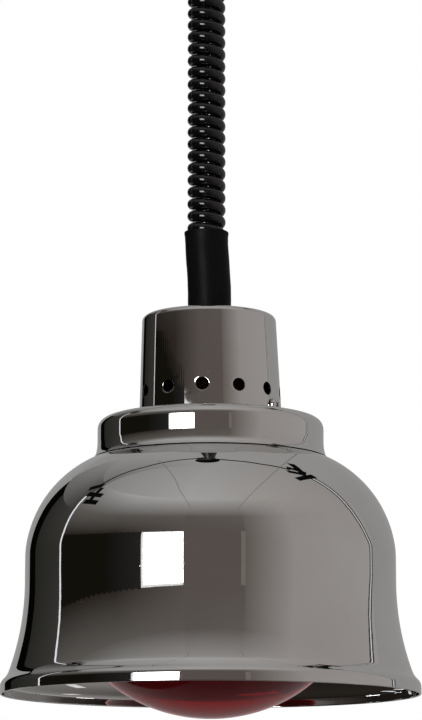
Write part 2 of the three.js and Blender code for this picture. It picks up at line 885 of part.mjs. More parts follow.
// Points of the cord's middle, each with the outward direction there, from its upper end to its
// lower one: a straight tail, a bend out of the upright, a left-handed helix, a bend back, and a
// lower tail that moves in beside the rope's stop and then on to the axis.
function cordRoute(stepsPerTurn) {
  const route = [];
  const put = (radius, angle, height) => route.push({
    at: new THREE.Vector3(radius * Math.cos(angle), radius * Math.sin(angle), height),
    out: new THREE.Vector3(Math.cos(angle), Math.sin(angle), 0),
  });
  const onCoil = (distance, height) => put(coilRadius, distance / coilRadius, height);
  const bendSteps = Math.max(2, Math.round(stepsPerTurn / 4));
  onCoil(0, jacketTop);
  for (let i = 0; i <= bendSteps; i += 1) {
    const u = (bendAngle * i) / bendSteps;
    onCoil(cordBend * (1 - Math.cos(u)), bendTop - cordBend * Math.sin(u));
  }
  const helixSteps = Math.round((stepsPerTurn * helixAround) / (2 * Math.PI * coilRadius));
  for (let i = 1; i < helixSteps; i += 1) {
    const along = (helixAround * i) / helixSteps;
    onCoil(bendAround + along, bendTop - bendDrop - along * Math.tan(lead));
  }
  for (let i = bendSteps; i >= 0; i -= 1) {
    const u = (bendAngle * i) / bendSteps;
    onCoil(coilAround - cordBend * (1 - Math.cos(u)), bendBottom + cordBend * Math.sin(u));
  }
  const tailSteps = Math.max(3, Math.round(stepsPerTurn / 2));
  const moveIn = (from, to, high, drop) => {
    for (let i = 1; i <= tailSteps; i += 1) {
      const share = THREE.MathUtils.smoothstep(i / tailSteps, 0, 1);
      put(THREE.MathUtils.lerp(from, to, share), coilAround / coilRadius, high - (drop * i) / tailSteps);
    }
  };
  const stopBottom = rimHeight + stopTop - stopLength;
  moveIn(coilRadius, lowerTailRadius, bendBottom, lowerShift);
  put(lowerTailRadius, coilAround / coilRadius, stopBottom);
  moveIn(lowerTailRadius, 0, stopBottom, lowerTurnIn);
  put(0, coilAround / coilRadius, rimHeight + barBottom);
  return route;
}

// A tube with flat ends round a route.
function tubeRound(route, radius, sides) {
  const positions = [];
  const index = [];
  route.forEach(({ at, out }, i) => {
    const isEnd = i === 0 || i === route.length - 1;
    const along = isEnd
      ? new THREE.Vector3(0, 0, -1)
      : route[i + 1].at.clone().sub(route[i - 1].at).normalize();
    const normal = out.clone().addScaledVector(along, -out.dot(along)).normalize();
    const side = new THREE.Vector3().crossVectors(along, normal);
    for (let k = 0; k < sides; k += 1) {
      const angle = (2 * Math.PI * k) / sides;
      const corner = at.clone()
        .addScaledVector(normal, radius * Math.cos(angle))
        .addScaledVector(side, radius * Math.sin(angle));
      positions.push(...corner);
    }
  });
  for (let i = 0; i + 1 < route.length; i += 1) {
    for (let k = 0; k < sides; k += 1) {
      const [a, b] = [i * sides + k, i * sides + ((k + 1) % sides)];
      index.push(a, b, a + sides, b, b + sides, a + sides);
    }
  }
  const last = (route.length - 1) * sides;
  for (let k = 1; k + 1 < sides; k += 1) {
    index.push(0, k + 1, k, last, last + k, last + k + 1);
  }
  const geometry = new THREE.BufferGeometry();
  geometry.setAttribute('position', new THREE.Float32BufferAttribute(positions, 3));
  geometry.setIndex(index);
  return closed(geometry);
}

// Prints the cord's length and the least distance from one of its turns to another.
function measureCord() {
  const route = cordRoute(measuredStepsPerTurn);
  const along = [0];
  for (let i = 1; i < route.length; i += 1) {
    along.push(along[i - 1] + route[i].at.distanceTo(route[i - 1].at));
  }
  let least = Infinity;
  for (let i = 0; i < route.length; i += 1) {
    for (let j = i + 1; j < route.length; j += 1) {
      if (along[j] - along[i] > 2 * coilRadius) {
        least = Math.min(least, route[i].at.distanceTo(route[j].at) - 2 * cordRadius);
      }
    }
  }
  console.log(`curly cord: ${along[along.length - 1].toFixed(0)} mm long, `
    + `least gap to itself ${least.toFixed(2)} mm`);
}

function curlyCord() {
  measureCord();
  return tubeRound(cordRoute(coilStepsPerTurn), cordRadius, cordSides);
}

// The rope leaves the winding at its side and ends over the stop, inside the pin.
function liftRope() {
  const reach = windingRadius + ropeRadius + fit;
  const dip = Math.sqrt(reach ** 2 - (windingRadius - ropeRadius) ** 2);
  return disc(ropeRadius, rimHeight + stopTop + fit, axleHeight - dip, sidesScrew);
}

// Ceiling side

function ceilingBracket() {
  const half = bracketWidth / 2;
  const tab = (side) => block(
    [side * (bracketReach - tabSheet), side * bracketReach],
    [-half, half],
    [-bracketSheet - bracketTab, 0],
  );
  const plate = block([-bracketReach, bracketReach], [-half, half], [-bracketSheet, 0]);
  const through = (x, radius, sides) => bar([x, 0, -2 * bracketSheet], [x, 0, bracketSheet], radius, sides);
  const reach = bracketReach + tabSheet;
  return cut(join([plate, tab(1), tab(-1)]), [
    through(0, clear(hookWire, sidesSmall), sidesSmall),
    through(ceilingHoleAt, ceilingHoleRadius, sidesSmall),
    through(-ceilingHoleAt, ceilingHoleRadius, sidesSmall),
    bar([-reach, 0, -canopyScrewDrop], [reach, 0, -canopyScrewDrop], clear(screwRadius, sidesScrew)),
  ]);
}

function ceilingHook() {
  const middle = hookRound - hookDrop;
  const bowl = Array.from({ length: hookSteps + 1 }, (_, i) => {
    const angle = THREE.MathUtils.degToRad(hookStart - (hookTurn * i) / hookSteps);
    return [0, hookRound * Math.cos(angle), middle + hookRound * Math.sin(angle)];
  });
  return wire([
    [0, 0, 0],
    [0, 0, -bracketSheet - hookNutHeight],
    [0, hookWire / 2, middle + hookRound + hookWire / 2],
    ...bowl,
  ], hookWire, hookWireSteps, sidesScrew);
}

function hookNut() {
  const top = -bracketSheet - fit;
  const bore = clear(hookWire, sidesSmall);
  const hexagon = disc(bore + hookNutWall, top - hookNutHeight, top, 6);
  return cut(hexagon, [disc(bore, top - 2 * hookNutHeight, top + hookNutHeight, sidesSmall)]);
}

function canopy() {
  const lowRadius = canopyRadius - canopyTaper;
  const roundMiddle = [lowRadius - canopyRound, canopyBottom + canopyRound];
  const body = turned([
    [canopyHole, canopyBottom],
    ...arc(...roundMiddle, canopyRound, -90, 0, roundSteps),
    [canopyRadius, -fit],
    [canopyRadius - canopyWall, -fit],
    ...arc(...roundMiddle, canopyRound - canopyWall, 0, -90, roundSteps),
    [canopyHole, canopyBottom + canopyWall],
  ], sidesBulb);
  const reach = canopyRadius + canopyWall;
  return cut(body, [
    bar([-reach, 0, -canopyScrewDrop], [reach, 0, -canopyScrewDrop], screwRadius + screwPlay),
  ]);
}

function canopyGrommet() {
  const low = canopyBottom - fit;
  const high = canopyBottom + canopyWall + fit;
  const groove = canopyHole - fit;
  const edge = groove + grommetLip;
  return turned([
    [groove - grommetWall, low - grommetSheet],
    [edge - grommetEdge, low - grommetSheet],
    [edge, low],
    [groove, low],
    [groove, high],
    [edge, high],
    [edge - grommetEdge, high + grommetSheet],
    [groove - grommetWall, high + grommetSheet],
  ], sidesBulb);
}

function canopyScrew(side) {
  const seat = canopyRadius + fit;
  const length = seat - bracketReach + tabSheet + screwThrough;
  return laid(screw(length), [side * seat, 0, -canopyScrewDrop], [side, 0, 0]);
}

function hangingRing() {
  const torus = new THREE.TorusGeometry(ringRound, ringWire, 8, 16);
  return closed(torus.rotateX(Math.PI / 2).translate(0, 0, hangingRingMiddle));
}

// Balancer

// A body turned about the drum's axle, from [radius, y] pairs.
function turnedAtAxle(profile, sides) {
  return turned(profile, sides).rotateX(-Math.PI / 2).translate(axleX, 0, axleHeight);
}

function balancerFrame() {
  const [back, front] = [-frameBack, frameFront];
  const plate = (z) => block([back, front], [-frameHalfWidth, frameHalfWidth], z);
  const cheek = (side) => block(
    [back, front],
    [side * (frameHalfWidth - cheekSheet), side * frameHalfWidth],
    [frameBottom, frameTop],
  );
  const halfEye = eyeSheet / 2;
  const eye = join([
    bar([-halfEye, 0, eyeMiddle], [halfEye, 0, eyeMiddle], eyeRound, sidesSmall),
    block([-halfEye, halfEye], [-eyeRound, eyeRound], [frameTop - frameSheet / 2, eyeMiddle]),
  ]);
  const body = join([
    plate([frameTop - frameSheet, frameTop]),
    plate([frameBottom, floorTop]),
    cheek(1),
    cheek(-1),
    eye,
  ]);
  const reach = 2 * frameHalfWidth;
  const [low, high] = [frameBottom - frameSheet, floorTop + frameSheet];
  return cut(body, [
    bar([-eyeSheet, 0, eyeMiddle], [eyeSheet, 0, eyeMiddle], eyeHole, sidesSmall),
    bar([axleX, -reach, axleHeight], [axleX, reach, axleHeight], clear(axleRadius, sidesSmall), sidesSmall),
    bar([0, 0, low], [0, 0, high], clear(guideOuter, sidesSmall), sidesSmall),
    bar([coilRadius, 0, low], [coilRadius, 0, high], clear(gripOuter, sidesSmall), sidesSmall),
  ]);
}

function drumAxle() {
  const reach = frameHalfWidth + axleOverhang;
  return turnedAtAxle([[0, -reach], [axleRadius, -reach], [axleRadius, reach], [0, reach]], sidesSmall);
}

function axleClip(side) {
  const [inner, outer] = [clear(axleRadius, sidesSmall), axleRadius + clipWall];
  const near = frameHalfWidth + fit;
  const [low, high] = side > 0 ? [near, near + clipSheet] : [-near - clipSheet, -near];
  return turnedAtAxle([[inner, low], [outer, low], [outer, high], [inner, high]], sidesSmall);
}

function ropeGuide() {
  const lipBottom = floorTop + fit;
  return turned([
    [guideBore, frameBottom - fit],
    [guideOuter, frameBottom - fit],
    [guideOuter, lipBottom],
    [guideOuter + guideLip, lipBottom],
    [guideOuter + guideLip, lipBottom + guideLip],
    [guideBore, lipBottom + guideLip],
  ], sidesSmall);
}

function upperCordBush() {
  const lipTop = frameBottom - fit;
  return turned([
    [gripBore, lipTop - cordGripLip],
    [gripOuter + cordGripLip, lipTop - cordGripLip],
    [gripOuter + cordGripLip, lipTop],
    [gripOuter, lipTop],
    [gripOuter, floorTop + fit],
    [gripBore, floorTop + fit],
  ], sidesSmall).translate(coilRadius, 0, 0);
}

function terminalBlock() {
  const half = blockWidth / 2;
  const middle = (blockTop + blockBottom) / 2;
  const body = block([blockFront - blockLength, blockFront], [-half, half], [blockBottom, blockTop]);
  return cut(body, [-1, 0, 1].map((row) => bar(
    [blockFront - blockPit, (row * blockWidth) / 3, middle],
    [blockFront + blockPit, (row * blockWidth) / 3, middle],
    blockPit,
  )));
}

function upperLead(row) {
  const turn = 90 - 120 * row;
  const [x, y] = around(leadSpread, turn, 0);
  const [blockX, blockY] = [blockFront - blockLength / 2, -(row * blockWidth) / 3];
  return wire([
    [coilRadius + x, y, jacketTop + fit],
    [coilRadius + x, y, jacketTop + fit + 2 * leadRadius],
    [blockX, blockY, blockBottom - fit - 2 * leadRadius],
    [blockX, blockY, blockBottom - fit],
  ], leadRadius, leadSteps, sidesLead);
}

function ropeDrum() {
  const half = drumHalfWidth;
  const groove = half - drumWall;
  const bore = clear(axleRadius, sidesSmall);
  const inside = windingBase - drumWall;
  return turnedAtAxle([
    [bore, -half],
    [drumRadius, -half],
    [drumRadius, -groove],
    [windingBase, -groove],
    [windingBase, groove],
    [drumRadius, groove],
    [drumRadius, half],
    [inside, half],
    [inside, -groove],
    [drumHub, -groove],
    [drumHub, half],
    [bore, half],
  ], sidesBulb);
}

function ropeWinding() {
  const groove = drumHalfWidth - drumWall - fit;
  const [inner, outer] = [windingBase + fit, windingRadius + ropeRadius];
  return turnedAtAxle([[inner, -groove], [outer, -groove], [outer, groove], [inner, groove]], sidesBulb);
}

function balanceSpring() {
  const inner = drumHub + fit;
  const outer = (windingBase - drumWall) * Math.cos(Math.PI / sidesBulb) - fit - springSheet;
  const steps = springTurns * springStepsPerTurn;
  const edge = (rise) => Array.from({ length: steps + 1 }, (_, i) => {
    const radius = THREE.MathUtils.lerp(inner, outer, i / steps) + rise;
    const angle = (2 * Math.PI * i) / springStepsPerTurn;
    return new THREE.Vector2(radius * Math.cos(angle), radius * Math.sin(angle));
  });
  const outline = new THREE.Shape([...edge(0), ...edge(springSheet).reverse()]);
  const depth = 2 * drumHalfWidth - drumWall - 2 * fit;
  const strip = new THREE.ExtrudeGeometry(outline, { depth, bevelEnabled: false });
  return closed(strip.rotateX(Math.PI / 2).translate(axleX, drumHalfWidth - fit, axleHeight));
}

// Assembly

const heatLamp = new THREE.Group();
const head = new THREE.Group();
head.position.z = rimHeight;
heatLamp.add(head);

function add(parent, name, geometry, [color, roughness, metalness]) {
  const mesh = new THREE.Mesh(geometry, new THREE.MeshStandardMaterial({ color, roughness, metalness }));
  mesh.name = name;
  parent.add(mesh);
}

const chrome = ['#b8b6b3', 0.06, 1];
const zinc = ['#b3b5b8', 0.35, 1];
const steel = ['#8f9194', 0.4, 1];
const brass = ['#b08d4c', 0.35, 1];
const blackRubber = ['#171717', 0.55, 0];
const blackPlastic = ['#1b1b1c', 0.35, 0];
const nylon = ['#d9d6cc', 0.5, 0];
const porcelain = ['#ece8de', 0.3, 0];
const redGlass = ['#6d1420', 0.08, 0];
const clearGlass = ['#cfd8d8', 0.05, 0];
const darkGlass = ['#26282e', 0.2, 0];
const brown = ['#6b3a1e', 0.5, 0];
const blue = ['#2c4f9a', 0.5, 0];
const green = ['#5f9a2c', 0.5, 0];

add(heatLamp, 'ceiling_bracket', ceilingBracket(), zinc);
add(heatLamp, 'ceiling_hook', ceilingHook(), zinc);
add(heatLamp, 'hook_nut', hookNut(), zinc);
add(heatLamp, 'canopy', canopy(), blackPlastic);
add(heatLamp, 'canopy_grommet', canopyGrommet(), blackRubber);
add(heatLamp, 'hanging_ring', hangingRing(), zinc);

add(heatLamp, 'balancer_frame', balancerFrame(), zinc);
add(heatLamp, 'drum_axle', drumAxle(), steel);
add(heatLamp, 'rope_guide', ropeGuide(), nylon);
add(heatLamp, 'upper_cord_bush', upperCordBush(), blackRubber);
add(heatLamp, 'terminal_block', terminalBlock(), nylon);
add(heatLamp, 'upper_live_lead', upperLead(-1), brown);
add(heatLamp, 'upper_neutral_lead', upperLead(0), blue);
add(heatLamp, 'upper_earth_lead', upperLead(1), green);
add(heatLamp, 'rope_drum', ropeDrum(), nylon);
add(heatLamp, 'rope_winding', ropeWinding(), steel);
add(heatLamp, 'balance_spring', balanceSpring(), steel);
add(heatLamp, 'curly_cord', curlyCord(), blackPlastic);
add(heatLamp, 'lift_rope', liftRope(), steel);

add(head, 'rope_stop', ropeStop(), brass);
add(head, 'rope_pin', ropePin(), steel);
add(head, 'sleeve', sleeve(), blackRubber);
add(head, 'stem', stem(), zinc);
add(head, 'stem_nut', stemNut(), zinc);
add(head, 'cap', cap(), chrome);
add(head, 'cap_ring', capRing(), zinc);
add(head, 'head_bracket', headBracket(), zinc);
add(head, 'cord_bush', cordBush(), blackRubber);
add(head, 'lamp_holder', lampHolder(), porcelain);
add(head, 'holder_shell', holderShell(), brass);
add(head, 'holder_contact', holderContact(), brass);
add(head, 'live_wire', mainsWire(-1, liveTurn), brown);
add(head, 'neutral_wire', mainsWire(1, neutralTurn), blue);
add(head, 'earth_wire', earthWire(), green);
add(head, 'earth_screw', earthScrew(), brass);
add(head, 'collar', collar(), chrome);
add(head, 'shade', shade(), chrome);

add(head, 'bulb_glass', bulbGlass(), redGlass);
add(head, 'bulb_base', bulbBase(), brass);
add(head, 'bulb_insulator', bulbInsulator(), darkGlass);
add(head, 'bulb_tip', bulbTip(), brass);
add(head, 'bulb_mount', bulbMount(), clearGlass);
add(head, 'filament', filament(), steel);

Object.entries(boltSides).forEach(([name, side]) => {
  add(heatLamp, `canopy_screw_${name}`, canopyScrew(side), zinc);
  add(heatLamp, `axle_clip_${side > 0 ? 'back' : 'front'}`, axleClip(side), steel);
  add(head, `spacer_${name}`, spacer(side), zinc);
  add(head, `shade_screw_${name}`, shadeScrew(side), zinc);
  add(head, `shade_nut_${name}`, shadeNut(side), zinc);
  add(head, `holder_screw_${name}`, holderScrew(side), zinc);
  add(head, `holder_terminal_${name}`, holderTerminal(side), brass);
});
turnsOf(2, capScrewTurn).forEach((turn, i) => {
  add(head, `cap_screw_${i + 1}`, capScrew(turn), zinc);
});

export default heatLamp;
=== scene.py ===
import json
from math import (
    asin, atan, atan2, ceil, cos, degrees, hypot, pi, radians, sin, sqrt, tan)

import bmesh
import bpy
import numpy as np
from mathutils import Matrix, Vector

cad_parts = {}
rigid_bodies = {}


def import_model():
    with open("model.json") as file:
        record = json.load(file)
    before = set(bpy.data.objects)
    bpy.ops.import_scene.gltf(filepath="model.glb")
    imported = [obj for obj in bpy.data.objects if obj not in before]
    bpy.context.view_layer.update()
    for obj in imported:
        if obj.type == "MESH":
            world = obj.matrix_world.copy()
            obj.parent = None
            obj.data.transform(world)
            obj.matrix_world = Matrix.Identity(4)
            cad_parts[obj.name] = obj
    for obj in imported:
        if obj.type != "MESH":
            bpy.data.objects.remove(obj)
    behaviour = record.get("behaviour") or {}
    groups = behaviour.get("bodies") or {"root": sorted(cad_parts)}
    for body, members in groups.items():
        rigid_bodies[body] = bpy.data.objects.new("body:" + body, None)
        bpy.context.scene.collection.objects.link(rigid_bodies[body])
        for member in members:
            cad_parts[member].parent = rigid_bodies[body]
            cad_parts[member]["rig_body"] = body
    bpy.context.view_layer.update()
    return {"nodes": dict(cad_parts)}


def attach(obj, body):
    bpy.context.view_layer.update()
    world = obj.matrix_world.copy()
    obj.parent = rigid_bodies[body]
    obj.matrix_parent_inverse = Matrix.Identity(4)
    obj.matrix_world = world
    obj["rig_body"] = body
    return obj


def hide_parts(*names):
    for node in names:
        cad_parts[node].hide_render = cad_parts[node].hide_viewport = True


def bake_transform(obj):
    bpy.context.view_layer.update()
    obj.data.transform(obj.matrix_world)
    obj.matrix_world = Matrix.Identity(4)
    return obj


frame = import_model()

# A pendant heat lamp: chromed bell shade and cap, red reflector bulb, curly cord up to a round
# ceiling canopy. Lengths are in millimetres, in the studio in metres, and angles in degrees.
# Heights are over the ceiling face, those of shade, collar, cap, sleeve and bulb over the rim.
milli = 0.001
rimHeight = -528.24


class Values(dict):  # one piece's values, read as size.radius or look.grain
    __getattr__ = dict.__getitem__


def newObject(name, data):
    made = bpy.data.objects.new(name, data)
    bpy.context.scene.collection.objects.link(made)
    return made


print("camera")
cameraView = Values(right=0.25, back=1628.0, height=-635.1, tiltUp=10.2, lens=148.4)
cameraData = bpy.data.cameras.new("camera")
cameraData.lens = cameraView.lens
camera = newObject("camera", cameraData)
camera.location = (
    cameraView.right * milli, -cameraView.back * milli, cameraView.height * milli)
camera.rotation_euler = (radians(90 + cameraView.tiltUp), 0, 0)
bpy.context.scene.camera = camera
bpy.context.scene.view_settings.view_transform = "Standard"


def linear(hexColour):
    channels = [int(hexColour[i:i + 2], 16) / 255 for i in (1, 3, 5)]
    curved = [c / 12.92 if c <= 0.04045 else ((c + 0.055) / 1.055) ** 2.4 for c in channels]
    return (*curved, 1)


def add(tree, kind, settings=None, links=None):
    made = tree.nodes.new("ShaderNode" + kind)
    for key, value in (settings or {}).items():
        if isinstance(key, str) and hasattr(made, key):
            setattr(made, key, value)
        else:
            made.inputs[key].default_value = value
    for key, source in (links or {}).items():
        tree.links.new(getattr(source, "outputs", [source])[0], made.inputs[key])
    return made


def perMetre(size):
    return 1000 / size


def startMaterial(name):
    finish = bpy.data.materials.new(name)
    finish.use_nodes = True
    tree = finish.node_tree
    tree.nodes.clear()
    place = add(tree, "TexCoord").outputs["Object"]
    return finish, tree, place


def surface(name, **look):
    # Every plain finish: a mottled colour, a roughness that varies with it, and a fine grain.
    look = Values(look)
    finish, tree, place = startMaterial(name)
    patches = add(tree, "TexNoise", {
        "Scale": perMetre(look.patch), "Detail": 4, "Roughness": 0.6}, {"Vector": place})
    colour = add(tree, "Mix", {"data_type": "RGBA", 6: linear(look.dark), 7: linear(look.light)},
                 {0: patches})
    rough = add(tree, "MapRange", {"To Min": look.roughness[0], "To Max": look.roughness[1]},
                {"Value": patches})
    grain = add(tree, "TexNoise", {
        "Scale": perMetre(look.grain), "Detail": 3}, {"Vector": place})
    bump = add(tree, "Bump", {
        "Strength": 1, "Distance": look.relief * milli}, {"Height": grain})
    shader = add(tree, "BsdfPrincipled", {
        "Metallic": look.get("metallic", 0),
        "Coat Weight": look.get("coat", 0),
        "Coat Roughness": 0.08}, {
        "Base Color": colour.outputs[2],
        "Roughness": rough,
        "Normal": bump})
    if not look.get("metallic"):
        shader.inputs["IOR"].default_value = look.get("ior", 1.5)
    add(tree, "OutputMaterial", links={"Surface": shader})
    return finish


def arc(across, up, radius, start, end, steps):
    turns = [radians(start + (end - start) * i / steps) for i in range(steps + 1)]
    return [(across + radius * cos(t), up + radius * sin(t)) for t in turns]


def bezier(a, b, c, d, steps):
    line = []
    for i in range(steps + 1):
        t = i / steps
        weights = ((1 - t) ** 3, 3 * t * (1 - t) ** 2, 3 * t * t * (1 - t), t ** 3)
        line.append(tuple(sum(w * p[k] for w, p in zip(weights, (a, b, c, d))) for k in (0, 1)))
    return line


def around(radius, turn, height):
    turn = radians(turn)
    return Vector((radius * sin(turn), -radius * cos(turn), height))


def eased(reach, t):
    # How far a soft step of this reach has come at t, from 0 to 1.
    return reach * t * t * (3 - 2 * t)


def raised(profile, by=rimHeight):
    return [(r, z + by) for r, z in profile]


def newMesh(name, points, faces):
    mesh = bpy.data.meshes.new(name)
    mesh.from_pydata([tuple(c * milli for c in p) for p in points], [], faces)
    return mesh


def finishPiece(name, mesh, finishes, body, nodes, sharp):
    piece = newObject(name, mesh)
    mesh.polygons.foreach_set("use_smooth", [True] * len(mesh.polygons))
    mesh.set_sharp_from_angle(angle=radians(sharp))
    for finish in finishes if isinstance(finishes, list) else [finishes]:
        mesh.materials.append(finish)
    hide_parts(*nodes)
    if body:
        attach(piece, body)
    return piece


def meshPiece(name, points, faces, finishes, body, nodes, slotName, sharp=35, slots=None):
    # A body of points and faces in millimetres, its doubles joined and its faces turned outwards.
    mesh = newMesh(name, points, faces)
    if slots:
        mesh.polygons.foreach_set("material_index", slots)
    body3d = bmesh.new()
    body3d.from_mesh(mesh)
    bmesh.ops.remove_doubles(body3d, verts=body3d.verts, dist=0.000002)
    bmesh.ops.recalc_face_normals(body3d, faces=body3d.faces)
    body3d.to_mesh(mesh)
    body3d.free()
    return finishPiece(name, mesh, finishes, body, nodes, sharp)


def turnedFaces(profile, sides, closed=True, first=0.0, place=None, paint=None):
    # A profile of [radius, height] turned about the upright axis, then moved by place.
    points, rings, faces, slots = [], [], [], []
    for r, z in profile:
        if r < 0.0005:  # a point on the axis
            rings.append([len(points)] * sides)
            points.append(Vector((0, 0, z)))
        else:
            rings.append([len(points) + k for k in range(sides)])
            points += [around(r, first + 360 * k / sides, z) for k in range(sides)]
    last = len(rings) if closed else len(rings) - 1
    for i in range(last):
        low, high = rings[i], rings[(i + 1) % len(rings)]
        for k in range(sides):
            n = (k + 1) % sides
            corners = list(dict.fromkeys((low[k], low[n], high[n], high[k])))
            if len(corners) > 2:
                faces.append(corners)
                slots.append(paint[i] if paint else 0)
    if place:
        points = [place @ p for p in points]
    return points, faces, slots


def turnedPiece(name, profile, sides, finishes, body, nodes, slotName, sharp=35, place=None,
                paint=None):
    points, faces, slots = turnedFaces(profile, sides, place=place, paint=paint)
    return meshPiece(name, points, faces, finishes, body, nodes, slotName, sharp, slots)


def tubeFaces(path, radius, sides, lobes=None, loop=False):
    # A tube along a path; lobes gives a stranded section: (count, depth, length of one twist).
    path = [Vector(p) for p in path]
    count = len(path)
    points, faces = [], []
    normal = None
    run = 0
    for i, at in enumerate(path):
        before = path[(i - 1) % count] if loop or i else at
        after = path[(i + 1) % count] if loop or i + 1 < count else at
        along = (after - before).normalized()
        if normal is None:
            normal = along.orthogonal().normalized()
            if abs(along.z) < 0.9:
                normal = along.cross(Vector((0, 0, 1))).normalized()
        normal = (normal - along * normal.dot(along)).normalized()
        side = along.cross(normal)
        run += (at - path[i - 1]).length if i else 0
        for k in range(sides):
            turn = 2 * pi * k / sides
            reach = radius
            if lobes:
                strands, depth, twist = lobes
                wave = abs(sin(strands * (turn - 2 * pi * run / twist) / 2))
                reach = radius - depth * (1 - wave)
            points.append(at + normal * (reach * cos(turn)) + side * (reach * sin(turn)))
    for i in range(count if loop else count - 1):
        for k in range(sides):
            n = (k + 1) % sides
            j = (i + 1) % count
            faces.append((i * sides + k, i * sides + n, j * sides + n, j * sides + k))
    if not loop:
        faces.append(tuple(range(sides))[::-1])
        faces.append(tuple((count - 1) * sides + k for k in range(sides)))
    return points, faces


def tubePiece(name, path, radius, sides, finish, body, nodes, slotName, loop=False):
    points, faces = tubeFaces(path, radius, sides, loop=loop)
    meshPiece(name, points, faces, finish, body, nodes, slotName, 60)


print("cord and rope")
# Flexible PVC jacket, extruded and set round a mandrel: deep black, smooth, a narrow wet gloss.
cordPvc = surface("black PVC cord jacket", dark="#050506", light="#0b0b0c", patch=6,
    roughness=(0.09, 0.14), grain=0.8, relief=0.004)
# Galvanised wire rope: grey strands, half gloss.
wireRope = surface("galvanised steel wire rope", dark="#77797b", light="#a2a4a6", patch=1.2,
    roughness=(0.3, 0.5), grain=0.3, relief=0.01, metallic=1)

cordSizes = Values(radius=3.2, coilRadius=7.6, turns=26, pitch=6.95, bend=5.5, top=-92.902,
    firstBend=-106.002, lowerRadius=5.7, moveIn=9.7, stopBottom=-316.74, toAxis=14.0, end=-342.04,
    stepsPerTurn=48, sides=20)
# The cord and rope hang a little to the left of the head's middle between these heights.
asideSizes = Values(by=-2.3, begin=-98.0, full=-130.0, back=-272.0, gone=-310.0)


def hungAside(path):
    size = asideSizes
    for p in path:
        high = (size.begin - p.z) / (size.begin - size.full)
        low = (p.z - size.gone) / (size.back - size.gone)
        t = max(0, min(1, high, low))
        p.x += eased(size.by, t)


def cordRoute(size):
    # The cord's middle from the balancer down: a straight tail, left-handed curls, a straight
    # tail. The second list gives how far down the curls each point is, from 0 to 1.
    path, share = [], []
    lead = atan(size.pitch / (2 * pi * size.coilRadius))
    bendAngle = pi / 2 - lead
    bendAround = size.bend * (1 - cos(bendAngle))
    bendDrop = size.bend * sin(bendAngle)
    coilAround = size.turns * 2 * pi * size.coilRadius
    helixAround = coilAround - 2 * bendAround
    lastBend = size.firstBend - 2 * bendDrop - helixAround * tan(lead)
    lastTurn = coilAround / size.coilRadius

    def put(radius, turn, height):
        path.append(Vector((radius * cos(turn), radius * sin(turn), height)))
        share.append(turn / lastTurn)

    def onCoil(distance, height):
        put(size.coilRadius, distance / size.coilRadius, height)

    bendSteps = size.stepsPerTurn // 4
    tailSteps = 8
    for i in range(tailSteps):
        onCoil(0, size.top + (size.firstBend - size.top) * i / tailSteps)
    for i in range(bendSteps + 1):
        u = bendAngle * i / bendSteps
        onCoil(size.bend * (1 - cos(u)), size.firstBend - size.bend * sin(u))
    helixSteps = round(size.stepsPerTurn * helixAround / (2 * pi * size.coilRadius))
    for i in range(1, helixSteps):
        along = helixAround * i / helixSteps
        height = size.firstBend - bendDrop - along * tan(lead)
        onCoil(bendAround + along, height)
    for i in range(bendSteps, -1, -1):
        u = bendAngle * i / bendSteps
        onCoil(coilAround - size.bend * (1 - cos(u)), lastBend + size.bend * sin(u))

    def moveIn(start, end, high, drop):
        steps = size.stepsPerTurn // 2
        for i in range(1, steps + 1):
            t = i / steps
            put(start + eased(end - start, t), lastTurn, high - drop * t)

    def straight(radius, end, steps=4):
        high = path[-1].z
        for i in range(1, steps + 1):
            put(radius, lastTurn, high + (end - high) * i / steps)

    moveIn(size.coilRadius, size.lowerRadius, lastBend, size.moveIn)
    straight(size.lowerRadius, size.stopBottom)
    moveIn(size.lowerRadius, 0, size.stopBottom, size.toAxis)
    straight(0, size.end)
    return path, share


def stretchBetween(piece):
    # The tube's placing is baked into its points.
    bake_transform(piece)


def freeTube(name, path, radius, sides, finish, node, lobes=None):
    points, faces = tubeFaces(path, radius, sides, lobes)
    piece = finishPiece(name, newMesh(name, points, faces), finish, None, [node], 60)
    stretchBetween(piece)
    return piece


coilPath, coilShare = cordRoute(cordSizes)
hungAside(coilPath)
curlyCord = freeTube("curlyCord", coilPath, cordSizes.radius, cordSizes.sides,
                     cordPvc, "curly_cord")

ropeSizes = Values(radius=0.8, top=-85.1, end=-311.2, strands=6, strandDepth=0.18, twist=9.0,
    step=0.45, sides=24)
ropeSteps = round((ropeSizes.top - ropeSizes.end) / ropeSizes.step)
ropeShare = [i / ropeSteps for i in range(ropeSteps + 1)]
ropePath = [Vector((0, 0, ropeSizes.top + (ropeSizes.end - ropeSizes.top) * s))
            for s in ropeShare]
hungAside(ropePath)
liftRope = freeTube("liftRope", ropePath, ropeSizes.radius, ropeSizes.sides,
                    wireRope, "lift_rope",
                    (ropeSizes.strands, ropeSizes.strandDepth, ropeSizes.twist))


print("chromed shade, collar and cap")


